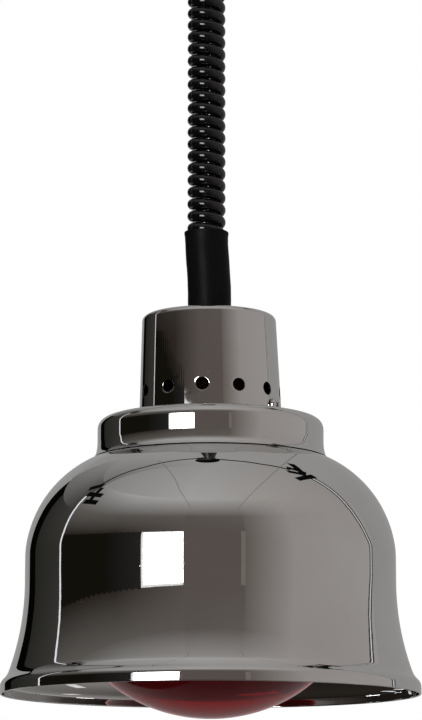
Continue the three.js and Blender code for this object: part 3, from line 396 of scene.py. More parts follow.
def chromePlate(name, look):
    # Bright chromium plate on spun steel: a mirror with a cool grey cast, rippled where the
    # spinning drew the flare, with a few straight wiping scratches, specks of dust and a thin
    # film of kitchen haze.
    finish, tree, place = startMaterial(name)
    haze = add(tree, "TexNoise", {
        "Scale": perMetre(look.haze), "Detail": 5, "Roughness": 0.65}, {"Vector": place})
    slant = add(tree, "Mapping", {
        "Rotation": look.scratchTurn, "Scale": (1, 1, look.scratchStretch)},
        {"Vector": place})
    scratchNet = add(tree, "TexVoronoi", {
        "feature": "DISTANCE_TO_EDGE", "Scale": perMetre(look.scratchSpacing)},
        {"Vector": slant})
    hairline = add(tree, "Math", {
        "operation": "LESS_THAN", 1: look.scratchWidth / look.scratchSpacing},
        {0: scratchNet.outputs["Distance"]})
    patches = add(tree, "Math", {"operation": "GREATER_THAN", 1: look.scratchRarity}, {0: haze})
    scratches = add(tree, "Math", {"operation": "MULTIPLY"}, {0: hairline, 1: patches})
    specks = add(tree, "TexVoronoi", {"Scale": perMetre(look.speckSpacing)}, {"Vector": place})
    speck = add(tree, "Math", {"operation": "LESS_THAN", 1: look.speckSize},
                {0: specks.outputs["Distance"]})
    marks = add(tree, "Math", {"operation": "MAXIMUM"}, {0: scratches, 1: speck})
    film = add(tree, "MapRange", {
        "From Min": look.filmFrom[0], "From Max": look.filmFrom[1],
        "To Min": look.roughness[0], "To Max": look.roughness[1]}, {"Value": haze})
    rough = add(tree, "Mix", {"data_type": "FLOAT", 3: look.markRoughness}, {0: marks, 2: film})
    plate = add(tree, "Mix", {"data_type": "RGBA", 6: linear(look.light), 7: linear(look.dull)},
                {0: haze})
    marked = add(tree, "Mix", {"data_type": "RGBA", 7: linear(look.mark)},
                 {0: marks, 6: plate.outputs[2]})
    spin = add(tree, "Mapping", {"Scale": (1, 1, look.spinStretch)}, {"Vector": place})
    waves = add(tree, "TexNoise", {"Scale": perMetre(look.wave), "Detail": 2}, {"Vector": spin})
    bump = add(tree, "Bump", {"Strength": 1, "Distance": look.waveDepth * milli},
               {"Height": waves})
    height = add(tree, "SeparateXYZ", links={0: place})
    drawn = add(tree, "MapRange", {
        "From Min": look.rippleTop * milli, "From Max": look.rippleFull * milli},
        {"Value": height.outputs[2]})
    ripple = add(tree, "TexNoise", {"Scale": perMetre(look.ripple), "Detail": 1},
                 {"Vector": place})
    drawnRipple = add(tree, "Math", {"operation": "MULTIPLY"}, {0: ripple, 1: drawn})
    rippled = add(tree, "Bump", {"Strength": 1, "Distance": look.rippleDepth * milli},
                  {"Height": drawnRipple, "Normal": bump})
    shader = add(tree, "BsdfPrincipled", {"Metallic": 1},
                 {"Base Color": marked.outputs[2], "Roughness": rough, "Normal": rippled})
    add(tree, "OutputMaterial", links={"Surface": shader})
    return finish


chromeLook = Values(light="#dcdddf", dull="#d2d1d0", mark="#cfcecc", haze=34,
    scratchTurn=(0.5, 0.4, 0.9), scratchStretch=0.25, scratchSpacing=24, scratchWidth=0.04,
    scratchRarity=0.62, speckSpacing=21, speckSize=0.014, roughness=(0.015, 0.035),
    filmFrom=(0.35, 0.75), markRoughness=0.3, wave=60, waveDepth=0.05, spinStretch=2.2,
    ripple=6.5, rippleDepth=0.012, rippleTop=-462, rippleFull=-484)
chrome = chromePlate("chromium plate on spun steel", chromeLook)
# Bare steel inside the cap: the same sheet without the plate, browned by the bulb's heat and
# painted dark as the shade inside the cap, which the vents show.
bakedShadedSteel = surface("bare steel darkened by heat", dark="#2c2520", light="#463d36", patch=18,
    roughness=(0.25, 0.4), grain=1.2, relief=0.008, metallic=1)

shadeSizes = Values(radius=101.9, wall=1.2, rimReach=13.1, lipHeight=4.0, lipRound=5.0,
    lipFlank=1.0, footRound=11.0, flareTop=61.0, wallTop=73.2, domeRound=61.5, domeStart=75.0,
    domeJoin=20, domeEase=(7.0, 6.0), hole=23.5, edge=0.3, sides=192)


def shadeSide(size, inset):
    # The bell's sheet over the rim: lip, flank, small hollow, long hollow, wall and dome.
    lip = (size.radius + size.rimReach - size.lipRound, size.lipHeight)
    slant = sqrt(0.5)
    foot = (lip[0] + (size.lipRound - size.lipFlank + size.footRound) * slant,
            lip[1] + (size.lipRound + size.lipFlank + size.footRound) * slant)
    across, up = size.radius - foot[0], size.flareTop - foot[1]
    flareRound = (size.footRound ** 2 - across ** 2 - up ** 2) / (2 * (across + size.footRound))
    flare = (size.radius + flareRound, size.flareTop)
    meet = 180 + degrees(atan2(flare[1] - foot[1], flare[0] - foot[0]))
    rim = size.radius + size.rimReach
    # The wall eases into the dome rather than starting its round at once.
    dome = arc(size.radius - size.domeRound, size.wallTop, size.domeRound - inset,
               size.domeJoin, 90, 30)
    lean = radians(size.domeJoin)
    first, last = size.domeEase
    start = (size.radius - inset, size.domeStart)
    ease = bezier(start, (start[0], start[1] + first),
                  (dome[0][0] + last * sin(lean), dome[0][1] - last * cos(lean)),
                  dome[0], 14)
    return [
        (rim - inset, size.edge),
        (rim - inset, size.edge * 2),
        (rim - inset, size.lipHeight / 2),
        *arc(*lip, size.lipRound - inset, 0, 45, 8),
        *arc(*foot, size.footRound + inset, 225, meet, 12),
        *arc(*flare, flareRound + inset, meet, 180, 36)[1:],
        (size.radius - inset, (size.flareTop + size.wallTop) / 2),
        *ease[:-1],
        *dome,
        (size.hole, size.wallTop + size.domeRound - inset),
    ]


rim = shadeSizes.radius + shadeSizes.rimReach
turnedPiece("shadeBell", raised([
    (rim - shadeSizes.edge, 0),
    (rim - shadeSizes.edge * 0.3, shadeSizes.edge * 0.3),
    *shadeSide(shadeSizes, 0),
    *shadeSide(shadeSizes, shadeSizes.wall)[::-1],
    (rim - shadeSizes.wall + shadeSizes.edge * 0.3, shadeSizes.edge * 0.3),
    (rim - shadeSizes.wall + shadeSizes.edge, 0),
]), shadeSizes.sides, chrome, "head", ["shade"], "chrome", 50)

# The collar's lip runs outwards over the dome: tilts from upright, by height over the rim.
collarSizes = Values(radius=62.65, wall=1.0, round=5.8, top=152.3, hole=24.0, sides=144,
    lipWall=0.12, lipThinTilt=30, lip=((138.4, 0), (137.9, 2.5), (136.8, 6), (135.5, 8.5),
    (134.0, 11), (132.8, 15), (131.7, 24), (130.8, 34), (130.1, 38)))


def collarLip(size):
    # The lip's outside from the wall down, and its inside offset square to it.
    outside, inside = [], []
    reach, height = size.radius, size.lip[0][0]
    last = size.lip[0][1]
    for level, tilt in size.lip:
        reach += (height - level) * tan(radians((last + tilt) / 2))
        height, last = level, tilt
        lean = radians(tilt)
        thick = size.wall + (size.lipWall - size.wall) * min(1, tilt / size.lipThinTilt)
        outside.append((reach, height))
        inside.append((reach - thick * cos(lean), height - thick * sin(lean)))
    return outside, inside


def collarSide(size, inset):
    return [
        (size.radius - inset, (size.lip[0][0] + size.top) / 2),
        *arc(size.radius - size.round, size.top - size.round,
             size.round - inset, 0, 90, 12),
        (size.hole, size.top - inset),
    ]


lipOutside, lipInside = collarLip(collarSizes)
turnedPiece("collarCup", raised([
    *lipOutside[::-1],
    *collarSide(collarSizes, 0),
    *collarSide(collarSizes, collarSizes.wall)[::-1],
    *lipInside,
]), collarSizes.sides, chrome, "head", ["collar"], "chrome", 50)

capSizes = Values(bottom=152.6, top=210.5, bottomRadius=39.57, topRadius=37.37, wall=1.0,
    round=3.3, hole=10.95, edge=0.3, skirtStep=2, crownStep=12, topRing=24, lean=0.0157,
    vents=12, ventRadius=3.5, ventHeight=166.2, ventTurn=-6.3, bandHalf=6.5, columns=12, rows=8,
    ventRoll=((0.4, 0), (0.15, 0.05), (0.02, 0.2), (0, 0.45)), screwTurns=(60.6, 240.6),
    screwHeight=157.5, screwProud=0.3, screwLength=4.6)


def capRadius(height):
    size = capSizes
    run = (height - size.bottom) / (size.top - size.round - size.bottom)
    return size.bottomRadius + (size.topRadius - size.bottomRadius) * run


def ventPatch(size, turn):
    # One vent's panel of sheet: rings from the panel's edge in to the hole, over its rolled edge,
    # through it and back out on the inside. A ring is a share of the way in, or a radius.
    span = radians(180 / size.vents) * capRadius(size.ventHeight)
    columns = [-1 + 2 * i / size.columns for i in range(size.columns)]
    rows = [-1 + 2 * i / size.rows for i in range(size.rows)]
    edge = [(u, -1) for u in columns] + [(1, v) for v in rows]
    edge += [(-u, 1) for u in columns] + [(-1, -v) for v in rows]
    hole, wall, inEdge = size.ventRadius, size.wall, 0.2
    levels = [(share, None, 0) for share in (0, 0.3, 0.6, 0.85)]
    levels += [(1, hole + out, depth) for out, depth in size.ventRoll]
    levels += [(1, hole, wall - inEdge), (1, hole + inEdge, wall)]
    levels += [(share, None, wall) for share in (0.85, 0.5, 0)]
    points, faces = [], []
    for share, exact, depth in levels:
        for u, v in edge:
            across, up = u * span, v * size.bandHalf
            reach = hypot(across, up)
            target = exact or hole + size.ventRoll[0][0]
            x = across + (across / reach * target - across) * share
            y = up + (up / reach * target - up) * share
            height = size.ventHeight + y
            aim = turn + degrees(x / capRadius(size.ventHeight))
            points.append(around(capRadius(height) - depth, aim, height + rimHeight))
    count = len(edge)
    slots = []
    for i in range(len(levels) - 1):
        for k in range(count):
            n = (k + 1) % count
            faces.append((i * count + k, i * count + n, (i + 1) * count + n, (i + 1) * count + k))
            slots.append(1 if levels[i][2] > 0 else 0)
    return points, faces, slots


def capShell(size):
    sides = size.vents * size.columns
    low, high = size.ventHeight - size.bandHalf, size.ventHeight + size.bandHalf
    first = size.ventTurn - 180 / size.vents
    wall, bottom, top, edge = size.wall, size.bottom, size.top, size.edge
    middle = (size.topRadius - size.round, top - size.round)

    def side(height, inset=0.0):
        return (capRadius(height) - inset, height)

    # Under and over the band of vents, each as its outside and its inside.
    skirt = ([side(low), side(bottom + size.skirtStep), side(bottom + edge), side(bottom, edge)],
             [side(bottom, wall - edge), side(bottom + edge, wall), side(low, wall)])
    crown = ([side(high), side(high + size.crownStep), side(high + 2 * size.crownStep),
              *arc(*middle, size.round, 0, 90, 10),
              (size.topRing, top), (size.hole + edge, top), (size.hole, top - edge)],
             [(size.hole, top - wall), (size.topRing, top - wall),
              *arc(*middle, size.round - wall, 90, 0, 6),
              side(high + size.crownStep, wall), side(high, wall)])
    points, faces, slots = [], [], []
    # Inside faces take the second finish, the steel painted dark for the shade in the cap.
    parts = [turnedFaces(raised([*outer, *inner]), sides, False, first,
                         paint=[0] * len(outer) + [1] * len(inner))
             for outer, inner in (skirt, crown)]
    parts += [ventPatch(size, size.ventTurn + 360 * k / size.vents) for k in range(size.vents)]
    for partPoints, partFaces, partSlots in parts:
        start = len(points)
        points += partPoints
        faces += [tuple(start + c for c in face) for face in partFaces]
        slots += partSlots
    return points, faces, slots


capPoints, capFaces, capSlots = capShell(capSizes)
# The cap stands a little off upright, as spun sheet on two side screws does.
for p in capPoints:
    p.x -= capSizes.lean * (p.z - rimHeight - capSizes.bottom)
meshPiece("ventedCap", capPoints, capFaces, [chrome, bakedShadedSteel], "head", ["cap"], "chrome", 40,
          capSlots)


print("screws")
# Zinc-plated steel: pale grey, half gloss, a faint bluish cloud from the plating bath.
zincPlate = surface("zinc-plated steel", dark="#8f9499", light="#b9bdc1", patch=5,
    roughness=(0.22, 0.42), grain=0.6, relief=0.012, metallic=1)
screwSizes = Values(shank=1.8, point=0.5, plain=0.3, pitch=0.8, thread=0.18, head=3.75,
    headHeight=2.4, underEdge=(0.15, 0.2), rim=0.7, bulge=0.75, flat=0.45, crossWidth=0.9,
    crossLength=3.6, crossDepth=1.3, crossTurn=20, sides=40)
canopyScrews = Values(reach=53.3, height=-9, length=7.5)


def panScrew(name, seat, outward, length, body, node, slotName="chrome", finish=None):
    # A pan-head screw with a cross recess, its head's underside at seat.
    size = screwSizes
    head = size.headHeight
    thread = []
    count = int((length - 2 * size.point) / size.pitch)
    for i in range(2 * count + 1):
        reach = size.shank - (size.thread if i % 2 else 0)
        thread.append((reach, -length + size.point + i * size.pitch / 2))
    profile = [(0, -length), (size.shank - size.point, -length), *thread,
               (size.shank, -size.plain), (size.shank, 0),
               (size.head - size.underEdge[0], 0), (size.head, size.underEdge[1]),
               *bezier((size.head, size.rim), (size.head, head * size.bulge),
                       (size.head * size.bulge, head), (size.head * size.flat, head), 8),
               (0, head)]
    turn = Vector((0, 0, 1)).rotation_difference(Vector(outward)).to_matrix().to_4x4()
    place = Matrix.Translation(Vector(seat)) @ turn
    piece = turnedPiece(name, profile, size.sides, finish or chrome, body, [node], slotName,
                        40, place)
    cutters = []
    for across in (0, 90):
        block = bmesh.new()
        bmesh.ops.create_cube(block, size=1)
        shape = Matrix.Diagonal((size.crossLength, size.crossWidth, 2 * size.crossDepth, 1))
        aim = place @ Matrix.Translation((0, 0, head)) @ Matrix.Rotation(
            radians(across + size.crossTurn), 4, "Z") @ shape
        block.transform(Matrix.Scale(milli, 4) @ aim)
        mesh = bpy.data.meshes.new("cross")
        block.to_mesh(mesh)
        block.free()
        cutter = newObject("cross", mesh)
        cutters.append(cutter)
        cut = piece.modifiers.new("cross", "BOOLEAN")
        cut.object = cutter
        cut.solver = "EXACT"
    bpy.context.view_layer.update()
    shaped = bpy.data.meshes.new_from_object(
        piece.evaluated_get(bpy.context.evaluated_depsgraph_get()))
    piece.modifiers.clear()
    piece.data = shaped
    for cutter in cutters:
        bpy.data.objects.remove(cutter)
    return piece


for number, turn in enumerate(capSizes.screwTurns, 1):
    seat = around(capRadius(capSizes.screwHeight) + capSizes.screwProud, turn,
                  capSizes.screwHeight + rimHeight)
    panScrew(f"capScrew{number}", seat, around(1, turn, 0), capSizes.screwLength, "head",
             f"cap_screw_{number}")
for sideName, side in (("right", 1), ("left", -1)):
    panScrew(f"canopyScrew_{sideName}", (side * canopyScrews.reach, 0, canopyScrews.height),
             (side, 0, 0), canopyScrews.length, "ceiling_mount", f"canopy_screw_{sideName}",
             "zinc_plated_steel", zincPlate)


print("sleeve")
# Heat-shrunk polyolefin sleeve: black, a faint wide sheen, a few soft swells where it gripped.
sleeveRubber = surface("shrunk polyolefin sleeve", dark="#060606", light="#0c0c0c", patch=9,
    roughness=(0.36, 0.46), grain=2.2, relief=0.12, ior=1.14)
# lean: where it starts, and how far aside it stands there and at the top.
sleeveSizes = Values(inner=11.2, outer=12.15, bottom=210.8, top=259.0, edge=0.2, lip=0.4,
    flare=0.3, mouth=((0, 3), (0.7, 1.6), (1, 0.7)), swell=0.12, swellWaves=(7, 5.3),
    swellFade=4, ragged=0.45, raggedDepth=2.5, sides=96, lean=(222.0, -0.6, -2.3))


def shrunkSleeve(size):
    # A straight tube with a flared mouth, then swells, a lean and a ragged end on its points.
    low, high, wall = size.bottom, size.top, size.outer - size.inner
    edge, lip, mouth, rag = size.edge, size.lip, size.mouth[0][1], size.raggedDepth
    steps = 24
    profile = [(size.inner, low), (size.outer - edge, low), (size.outer, low + edge)]
    profile += [(size.outer, low + (high - (mouth + edge) - low) * i / steps)
                for i in range(1, steps)]
    profile += [(size.outer + size.flare * share, high - drop) for share, drop in size.mouth]
    profile += [*arc(size.outer + size.flare - lip, high - lip, lip, 0, 90, 4),
                (size.inner + edge, high), (size.inner, high - edge)]
    profile += [(size.inner, low + (high - low) * i / 6) for i in range(5, 0, -1)]
    points, faces, _ = turnedFaces(raised(profile), size.sides)
    for p in points:
        turn = atan2(p.y, p.x)
        up = p.z - rimHeight
        if hypot(p.x, p.y) > size.inner + wall / 2:
            slant, level = size.swellWaves
            swell = size.swell * sin(2 * turn + up / slant) * sin(up / level + 1)
            fade = min(1, (up - low) / size.swellFade,
                       max(0, (high - mouth - up) / size.swellFade))
            factor = 1 - abs(swell) * max(0, fade) / size.outer
            p.x, p.y = p.x * factor, p.y * factor
        start, least, most = size.lean
        t = max(0, min(1, (up - start) / (high - start)))
        p.x += least + eased(most - least, t)
        if up > high - rag:
            drop = 0.5 + 0.5 * sin(turn + 0.8) * cos(2 * turn + 0.3)
            p.z -= size.ragged * drop * (up - high + rag) / rag
    return points, faces


meshPiece("cordSleeve", *shrunkSleeve(sleeveSizes), sleeveRubber, "head", ["sleeve"],
          "black_rubber", 60)


print("bulb")
# The pulls are the handles of the curves from the face to the widest ring and up to the neck.
bulbSizes = Values(bottom=-12.76, radius=62.5, faceRound=91.0, edge=6.0, edgePull=(4.4, 6),
    shoulder=31.0, mirrorOver=6, flankPull=(0.42, 0.72), flankSwell=2.7, neckTop=141.3,
    neckRadius=13.8, neckLength=9.0, neckSwell=3.0, neckPull=(0.9, 1, 3, 4), wall=1.2, sides=144)


def bulbSide(size, inset):
    widest = size.bottom + size.shoulder
    neckLow = size.neckTop - size.neckLength
    faceRim = size.radius - size.edge
    faceAngle = degrees(asin(faceRim / size.faceRound))
    face = arc(0, size.bottom + size.faceRound, size.faceRound - inset, -90, faceAngle - 90, 20)
    rimPoint = face[-1]
    slope = (cos(radians(faceAngle)), sin(radians(faceAngle)))
    reach = size.radius - inset
    out, under = size.edgePull
    edge = bezier(rimPoint, (rimPoint[0] + out * slope[0], rimPoint[1] + out * slope[1]),
                  (reach, widest - under), (reach, widest), 12)
    low, high = size.flankPull
    flank = bezier((reach, widest), (reach, widest + (neckLow - widest) * low),
                   (size.neckRadius + size.flankSwell * size.neckSwell - inset,
                    widest + (neckLow - widest) * high),
                   (size.neckRadius + size.neckSwell - inset, neckLow), 28)
    share, back, over, below = size.neckPull
    neck = bezier(flank[-1], (size.neckRadius + share * size.neckSwell - inset - back,
                              neckLow + over),
                  (size.neckRadius - inset, size.neckTop - below),
                  (size.neckRadius - inset, size.neckTop), 6)
    return [(0, size.bottom + inset), *face[1:], *edge[1:], *flank[1:], *neck[1:]]


def rubyGlass(name, look):
    # Hard glass coloured through: deep red, a little lighter in soft clouds, clear gloss.
    finish, tree, place = startMaterial(name)
    cloud = add(tree, "TexNoise", {
        "Scale": perMetre(look.cloud), "Detail": 3}, {"Vector": place})
    colour = add(tree, "Mix", {"data_type": "RGBA", 6: linear(look.deep), 7: linear(look.thin)},
                 {0: cloud})
    rough = add(tree, "MapRange", {
        "To Min": look.roughness[0], "To Max": look.roughness[1]}, {"Value": cloud})
    ripples = add(tree, "Bump", {"Strength": 1, "Distance": look.ripple * milli},
                  {"Height": cloud})
    shader = add(tree, "BsdfPrincipled", {"IOR": 1.5, "Transmission Weight": look.transmission},
                 {"Base Color": colour.outputs[2], "Roughness": rough, "Normal": ripples})
    add(tree, "OutputMaterial", links={"Surface": shader})
    return finish


ruby = rubyGlass("ruby hard glass", Values(
    deep="#b01226", thin="#c41e32", cloud=45, roughness=(0.015, 0.04), ripple=0.04,
    transmission=0.92))
# Vapour-coated aluminium inside the cone: a dull grey mirror, copper-red through the glass.
coatedCone = surface("aluminised inside of the bulb", dark="#8d8482", light="#b5aeac", patch=30,
    roughness=(0.12, 0.2), grain=6, relief=0.01, metallic=1)
outside, inside = bulbSide(bulbSizes, 0), bulbSide(bulbSizes, bulbSizes.wall)
# Faces of the inside above the shoulder carry the mirror coat.
mirrorFrom = bulbSizes.bottom + bulbSizes.shoulder + bulbSizes.mirrorOver
paint = [0] * len(outside) + [1 if z > mirrorFrom else 0 for _, z in inside[::-1]]
turnedPiece("bulbGlass", raised([*outside, *inside[::-1]]), bulbSizes.sides,
            [ruby, coatedCone], "bulb", ["bulb_glass"], "red_glass", 60, paint=paint)


print("ceiling side")
# Powder-coated steel canopy: black, satin, with the coat's fine orange peel.
canopyCoat = surface("black powder-coated steel", dark="#0e0e0f", light="#171718", patch=20,
    roughness=(0.32, 0.42), grain=1.1, relief=0.02)
# Moulded EPDM: dull black with a dusty grey bloom.
epdm = surface("moulded EPDM rubber", dark="#101010", light="#1d1d1c", patch=4,
    roughness=(0.55, 0.75), grain=0.7, relief=0.02)
# Bright drawn steel wire: grey, half gloss, drawn lines.
drawnSteel = surface("drawn steel wire", dark="#7c7e80", light="#a6a8aa", patch=3,
    roughness=(0.25, 0.4), grain=0.5, relief=0.012, metallic=1)
canopySizes = Values(radius=53.0, taper=1.0, top=-0.3, bottom=-112.0, round=8.0, wall=2.0,
    hole=24.5, edge=0.3, sides=144)


def canopyShell(size):
    edge = size.edge
    middle = (size.radius - size.taper - size.round, size.bottom + size.round)
    return [
        (size.hole, size.bottom + edge), (size.hole + edge, size.bottom),
        *arc(*middle, size.round, -90, 0, 14),
        (size.radius, size.top - edge), (size.radius - edge, size.top),
        (size.radius - size.wall + edge, size.top),
        (size.radius - size.wall, size.top - edge),
        *arc(*middle, size.round - size.wall, 0, -90, 10),
        (size.hole, size.bottom + size.wall),
    ]


turnedPiece("ceilingCanopy", canopyShell(canopySizes), canopySizes.sides, canopyCoat,
            "ceiling_mount", ["canopy"], "black_plastic", 40)
grommetSizes = Values(inner=22.2, groove=24.2, outer=29.2, low=-114.3, high=-107.7, lip=2.0,
    bead=1, soft=0.8, sides=96)


def grommetRing(size):
    low, high, inner, outer = size.low, size.high, size.inner, size.outer
    bead, soft = size.bead, size.soft
    return [
        *arc(inner + soft, low + soft, soft, 180, 270, 5),
        *arc(outer - bead, low + bead, bead, -90, 0, 6),
        (outer, low + size.lip), (size.groove, low + size.lip),
        (size.groove, high - size.lip), (outer, high - size.lip),
        *arc(outer - bead, high - bead, bead, 0, 90, 6),
        *arc(inner + soft, high - soft, soft, 90, 180, 5),
    ]


turnedPiece("canopyGrommet", grommetRing(grommetSizes), grommetSizes.sides, epdm,
            "ceiling_mount", ["canopy_grommet"], "black_rubber", 50)

hookSizes = Values(wire=2.5, round=8.5, bottom=-29.5, shank=-6.6, shankSteps=11, start=60,
    end=-180, neck=((0, -9.5), (2.2, -10.6)), sides=24)


def hookLine(size):
    # A straight shank, a small swan neck and the bowl, in the plane of the cord and camera.
    middle = size.bottom + size.round
    bowl = arc(0, middle, size.round, size.start, size.end, 40)
    shank = [(0, size.shank * i / size.shankSteps) for i in range(size.shankSteps + 1)]
    neck = bezier(shank[-1], *size.neck, bowl[0], 8)
    return [(0, y, z) for y, z in (*shank, *neck[1:-1], *bowl)]


tubePiece("ceilingHook", hookLine(hookSizes), hookSizes.wire, hookSizes.sides, zincPlate,
          "ceiling_mount", ["ceiling_hook"], "zinc_plated_steel")
ringSizes = Values(wire=1.5, round=7.5, middle=-32.7, steps=72, sides=20)
ringLine = [(across, 0, up) for across, up in arc(
    0, ringSizes.middle, ringSizes.round, 0, 360, ringSizes.steps)[:-1]]
tubePiece("hangingRing", ringLine, ringSizes.wire, ringSizes.sides, drawnSteel, "hanger",
          ["hanging_ring"], "zinc_plated_steel", loop=True)


print("carried-over parts")
# Brass: warm yellow, dulled a little by heat.
brass = surface("machined brass", dark="#8c6f3c", light="#b8975a", patch=6, roughness=(0.25, 0.42),
    grain=0.5, relief=0.01, metallic=1)
# Porcelain of the lamp holder, painted dark brown as the shade inside the cap: glossy, small pits,
# so the vents in front of it look black.
porcelain = surface("brown-glazed porcelain", dark="#1d120b", light="#33210f", patch=14,
    roughness=(0.1, 0.22), grain=1.4, relief=0.03, coat=0.2)
# Zinc plate inside the cap, browned by heat and painted dark as the shade there: dull, with a
# brown cast.
brownedShadedZinc = surface("zinc plate browned by heat", dark="#2a2019", light="#4f3c2d", patch=5,
    roughness=(0.4, 0.55), grain=0.6, relief=0.012, metallic=1)
# Natural nylon, moulded: milky, waxy gloss.
nylon = surface("moulded nylon", dark="#cfcbbd", light="#dedbd0", patch=6, roughness=(0.35, 0.5),
    grain=0.8, relief=0.01)
# PVC core insulation in the mains colours: smooth, low gloss.
coreLook = {"patch": 4, "roughness": (0.35, 0.5), "grain": 0.6, "relief": 0.01}
brownPvc = surface("brown PVC insulation", dark="#4a2a18", light="#5d3722", **coreLook)
bluePvc = surface("blue PVC insulation", dark="#1f4a86", light="#2b5a9c", **coreLook)
greenPvc = surface("green PVC insulation", dark="#3f7a2c", light="#5c963a", **coreLook)
# Black vitrified glass between the base's contacts: deep gloss.
vitrite = surface("black vitrified glass", dark="#0c0b0d", light="#19171b", patch=4,
    roughness=(0.06, 0.14), grain=1.2, relief=0.02)
# Tungsten, drawn and coiled: dark grey, dry.
tungsten = surface("drawn tungsten", dark="#55555a", light="#77777c", patch=2,
    roughness=(0.4, 0.55), grain=0.4, relief=0.01, metallic=1)
# Drawn glass of the bulb's stem press: pale and clear grey, glossy.
stemGlass = surface("soda-lime glass of the stem press", dark="#b9c4c2", light="#d2dad8", patch=6,
    roughness=(0.05, 0.15), grain=2, relief=0.03)

finishGroups = (
    (zincPlate, """ceiling_bracket hook_nut balancer_frame stem stem_nut spacer_right spacer_left
        shade_screw_right shade_screw_left shade_nut_right shade_nut_left holder_screw_right
        holder_screw_left"""),
    (drawnSteel, "drum_axle axle_clip_back axle_clip_front balance_spring rope_pin"),
    (brass, """rope_stop holder_shell holder_contact holder_terminal_right holder_terminal_left
        earth_screw bulb_base bulb_tip"""),
    (nylon, "rope_guide terminal_block rope_drum"),
    (epdm, "upper_cord_bush cord_bush"),
    (brownPvc, "upper_live_lead live_wire"),
    (bluePvc, "upper_neutral_lead neutral_wire"),
    (greenPvc, "upper_earth_lead earth_wire"),
    # Parts inside the cap, painted dark for the shade there.
    (brownedShadedZinc, "cap_ring head_bracket"),
    # The lamp holder's porcelain is painted dark for the shade inside the cap.
    (wireRope, "rope_winding"), (porcelain, "lamp_holder"), (vitrite, "bulb_insulator"),
    (stemGlass, "bulb_mount"), (tungsten, "filament"))
finishOf = {name: finish for finish, names in finishGroups for name in names.split()}


def softened(name, edge, sharp=50):
    # The solid's own form with its edges broken and its turned faces shaded round.
    source = frame["nodes"][name]
    body3d = bmesh.new()
    body3d.from_mesh(source.data)
    bmesh.ops.remove_doubles(body3d, verts=body3d.verts, dist=0.000005)
    bmesh.ops.dissolve_limit(body3d, angle_limit=radians(1), verts=body3d.verts,
                             edges=body3d.edges)
    corners = [e for e in body3d.edges
               if e.is_manifold and e.calc_face_angle(0) > radians(sharp)]
    bmesh.ops.bevel(body3d, geom=corners, offset=edge * milli, segments=2, profile=0.6,
                    affect="EDGES", clamp_overlap=True)
    mesh = bpy.data.meshes.new(name + "Softened")
    body3d.to_mesh(mesh)
    body3d.free()
    finishPiece(mesh.name, mesh, finishOf[name], source["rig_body"], [name], sharp)


for name, finish in finishOf.items():
    node = frame["nodes"][name]
    for materialSlot in node.material_slots:
        materialSlot.material = finish
    if not node.material_slots:
        node.data.materials.append(finish)
for name, edge in (("ceiling_bracket", 0.35), ("balancer_frame", 0.3), ("hook_nut", 0.4),
                   ("head_bracket", 0.3), ("terminal_block", 0.5), ("lamp_holder", 0.6),
                   ("rope_drum", 0.3), ("drum_axle", 0.3)):
    softened(name, edge)


print("studio")
# Painted floor of the studio: pale and matt, with faint clouds, their size in millimetres.
floorSizes = Values(height=-5.3, reach=30.0, cloud=1000 / 3, seen=0.86)
floorFinish, tree, place = startMaterial("pale studio floor")
floorCloud = add(tree, "TexNoise", {"Scale": perMetre(floorSizes.cloud), "Detail": 2},
                 {"Vector": place})
floorColour = add(tree, "Mix", {"data_type": "RGBA", 6: linear("#f2f1ef"), 7: linear("#f7f6f4")},
                  {0: floorCloud})
floorShader = add(tree, "BsdfDiffuse", links={"Color": floorColour.outputs[2]})
# The camera sees the floor in its own pale colour; the lamp gets only what the floor gives back.
floorSeen = add(tree, "Emission", {"Strength": floorSizes.seen},
                {"Color": floorColour.outputs[2]})
floorMix = add(tree, "MixShader", links={
    0: add(tree, "LightPath").outputs["Is Camera Ray"],
    1: floorShader, 2: floorSeen})
add(tree, "OutputMaterial", links={"Surface": floorMix})
floorMesh = bpy.data.meshes.new("floor")
floorMesh.from_pydata([(x * floorSizes.reach, y * floorSizes.reach, floorSizes.height)
                       for x, y in ((-1, -1), (1, -1), (1, 1), (-1, 1))], [], [(0, 1, 2, 3)])
floorMesh.materials.append(floorFinish)
floor = newObject("floor", floorMesh)
floor.visible_glossy = False
floor.visible_transmission = False

# The room that the chrome mirrors, as plain studio cards that only glossy rays meet, the low
# ones also rays through glass. turn runs from the camera's side towards +X, rise up from the
# level. The colours are one, or those of the corners: low left and right, high left and right.
cardSizes = Values(glow=1.38, middle=-0.46, step=4, stripSteps=6)
cardPaint = bpy.data.materials.new("studio card")
cardPaint.use_nodes = True
tree = cardPaint.node_tree
tree.nodes.clear()
cardColour = add(tree, "Attribute", {"attribute_name": "paint"})
cardGlow = add(tree, "Emission", {"Strength": cardSizes.glow}, {"Color": cardColour})
add(tree, "OutputMaterial", links={"Surface": cardGlow})
cardMiddle = Vector((0, 0, cardSizes.middle))


def towards(turn, rise, distance=1):
    rise = radians(rise)
    return around(distance * cos(rise), turn, distance * sin(rise))


def studioCard(name, turn, rise, colours, distance=6.0, boost=1.0, throughGlass=False):
    columns = max(1, ceil((turn[1] - turn[0]) / cardSizes.step))
    rows = max(1, ceil((rise[1] - rise[0]) / cardSizes.step))
    corners = [np.array(linear(c)) * boost for c in colours.split()]
    if len(corners) == 1:
        corners *= 4
    points, shades, faces = [], [], []
    for j in range(rows + 1):
        v = j / rows
        up = rise[0] + (rise[1] - rise[0]) * v
        for i in range(columns + 1):
            u = i / columns
            level = turn[0] + (turn[1] - turn[0]) * u
            points.append(cardMiddle + towards(level, up, distance))
            shades.append((corners[0] * (1 - u) + corners[1] * u) * (1 - v)
                          + (corners[2] * (1 - u) + corners[3] * u) * v)
    for j in range(rows):
        for i in range(columns):
            a = j * (columns + 1) + i
            faces.append((a, a + 1, a + columns + 2, a + columns + 1))
    finishCard(name, points, faces, shades, throughGlass)


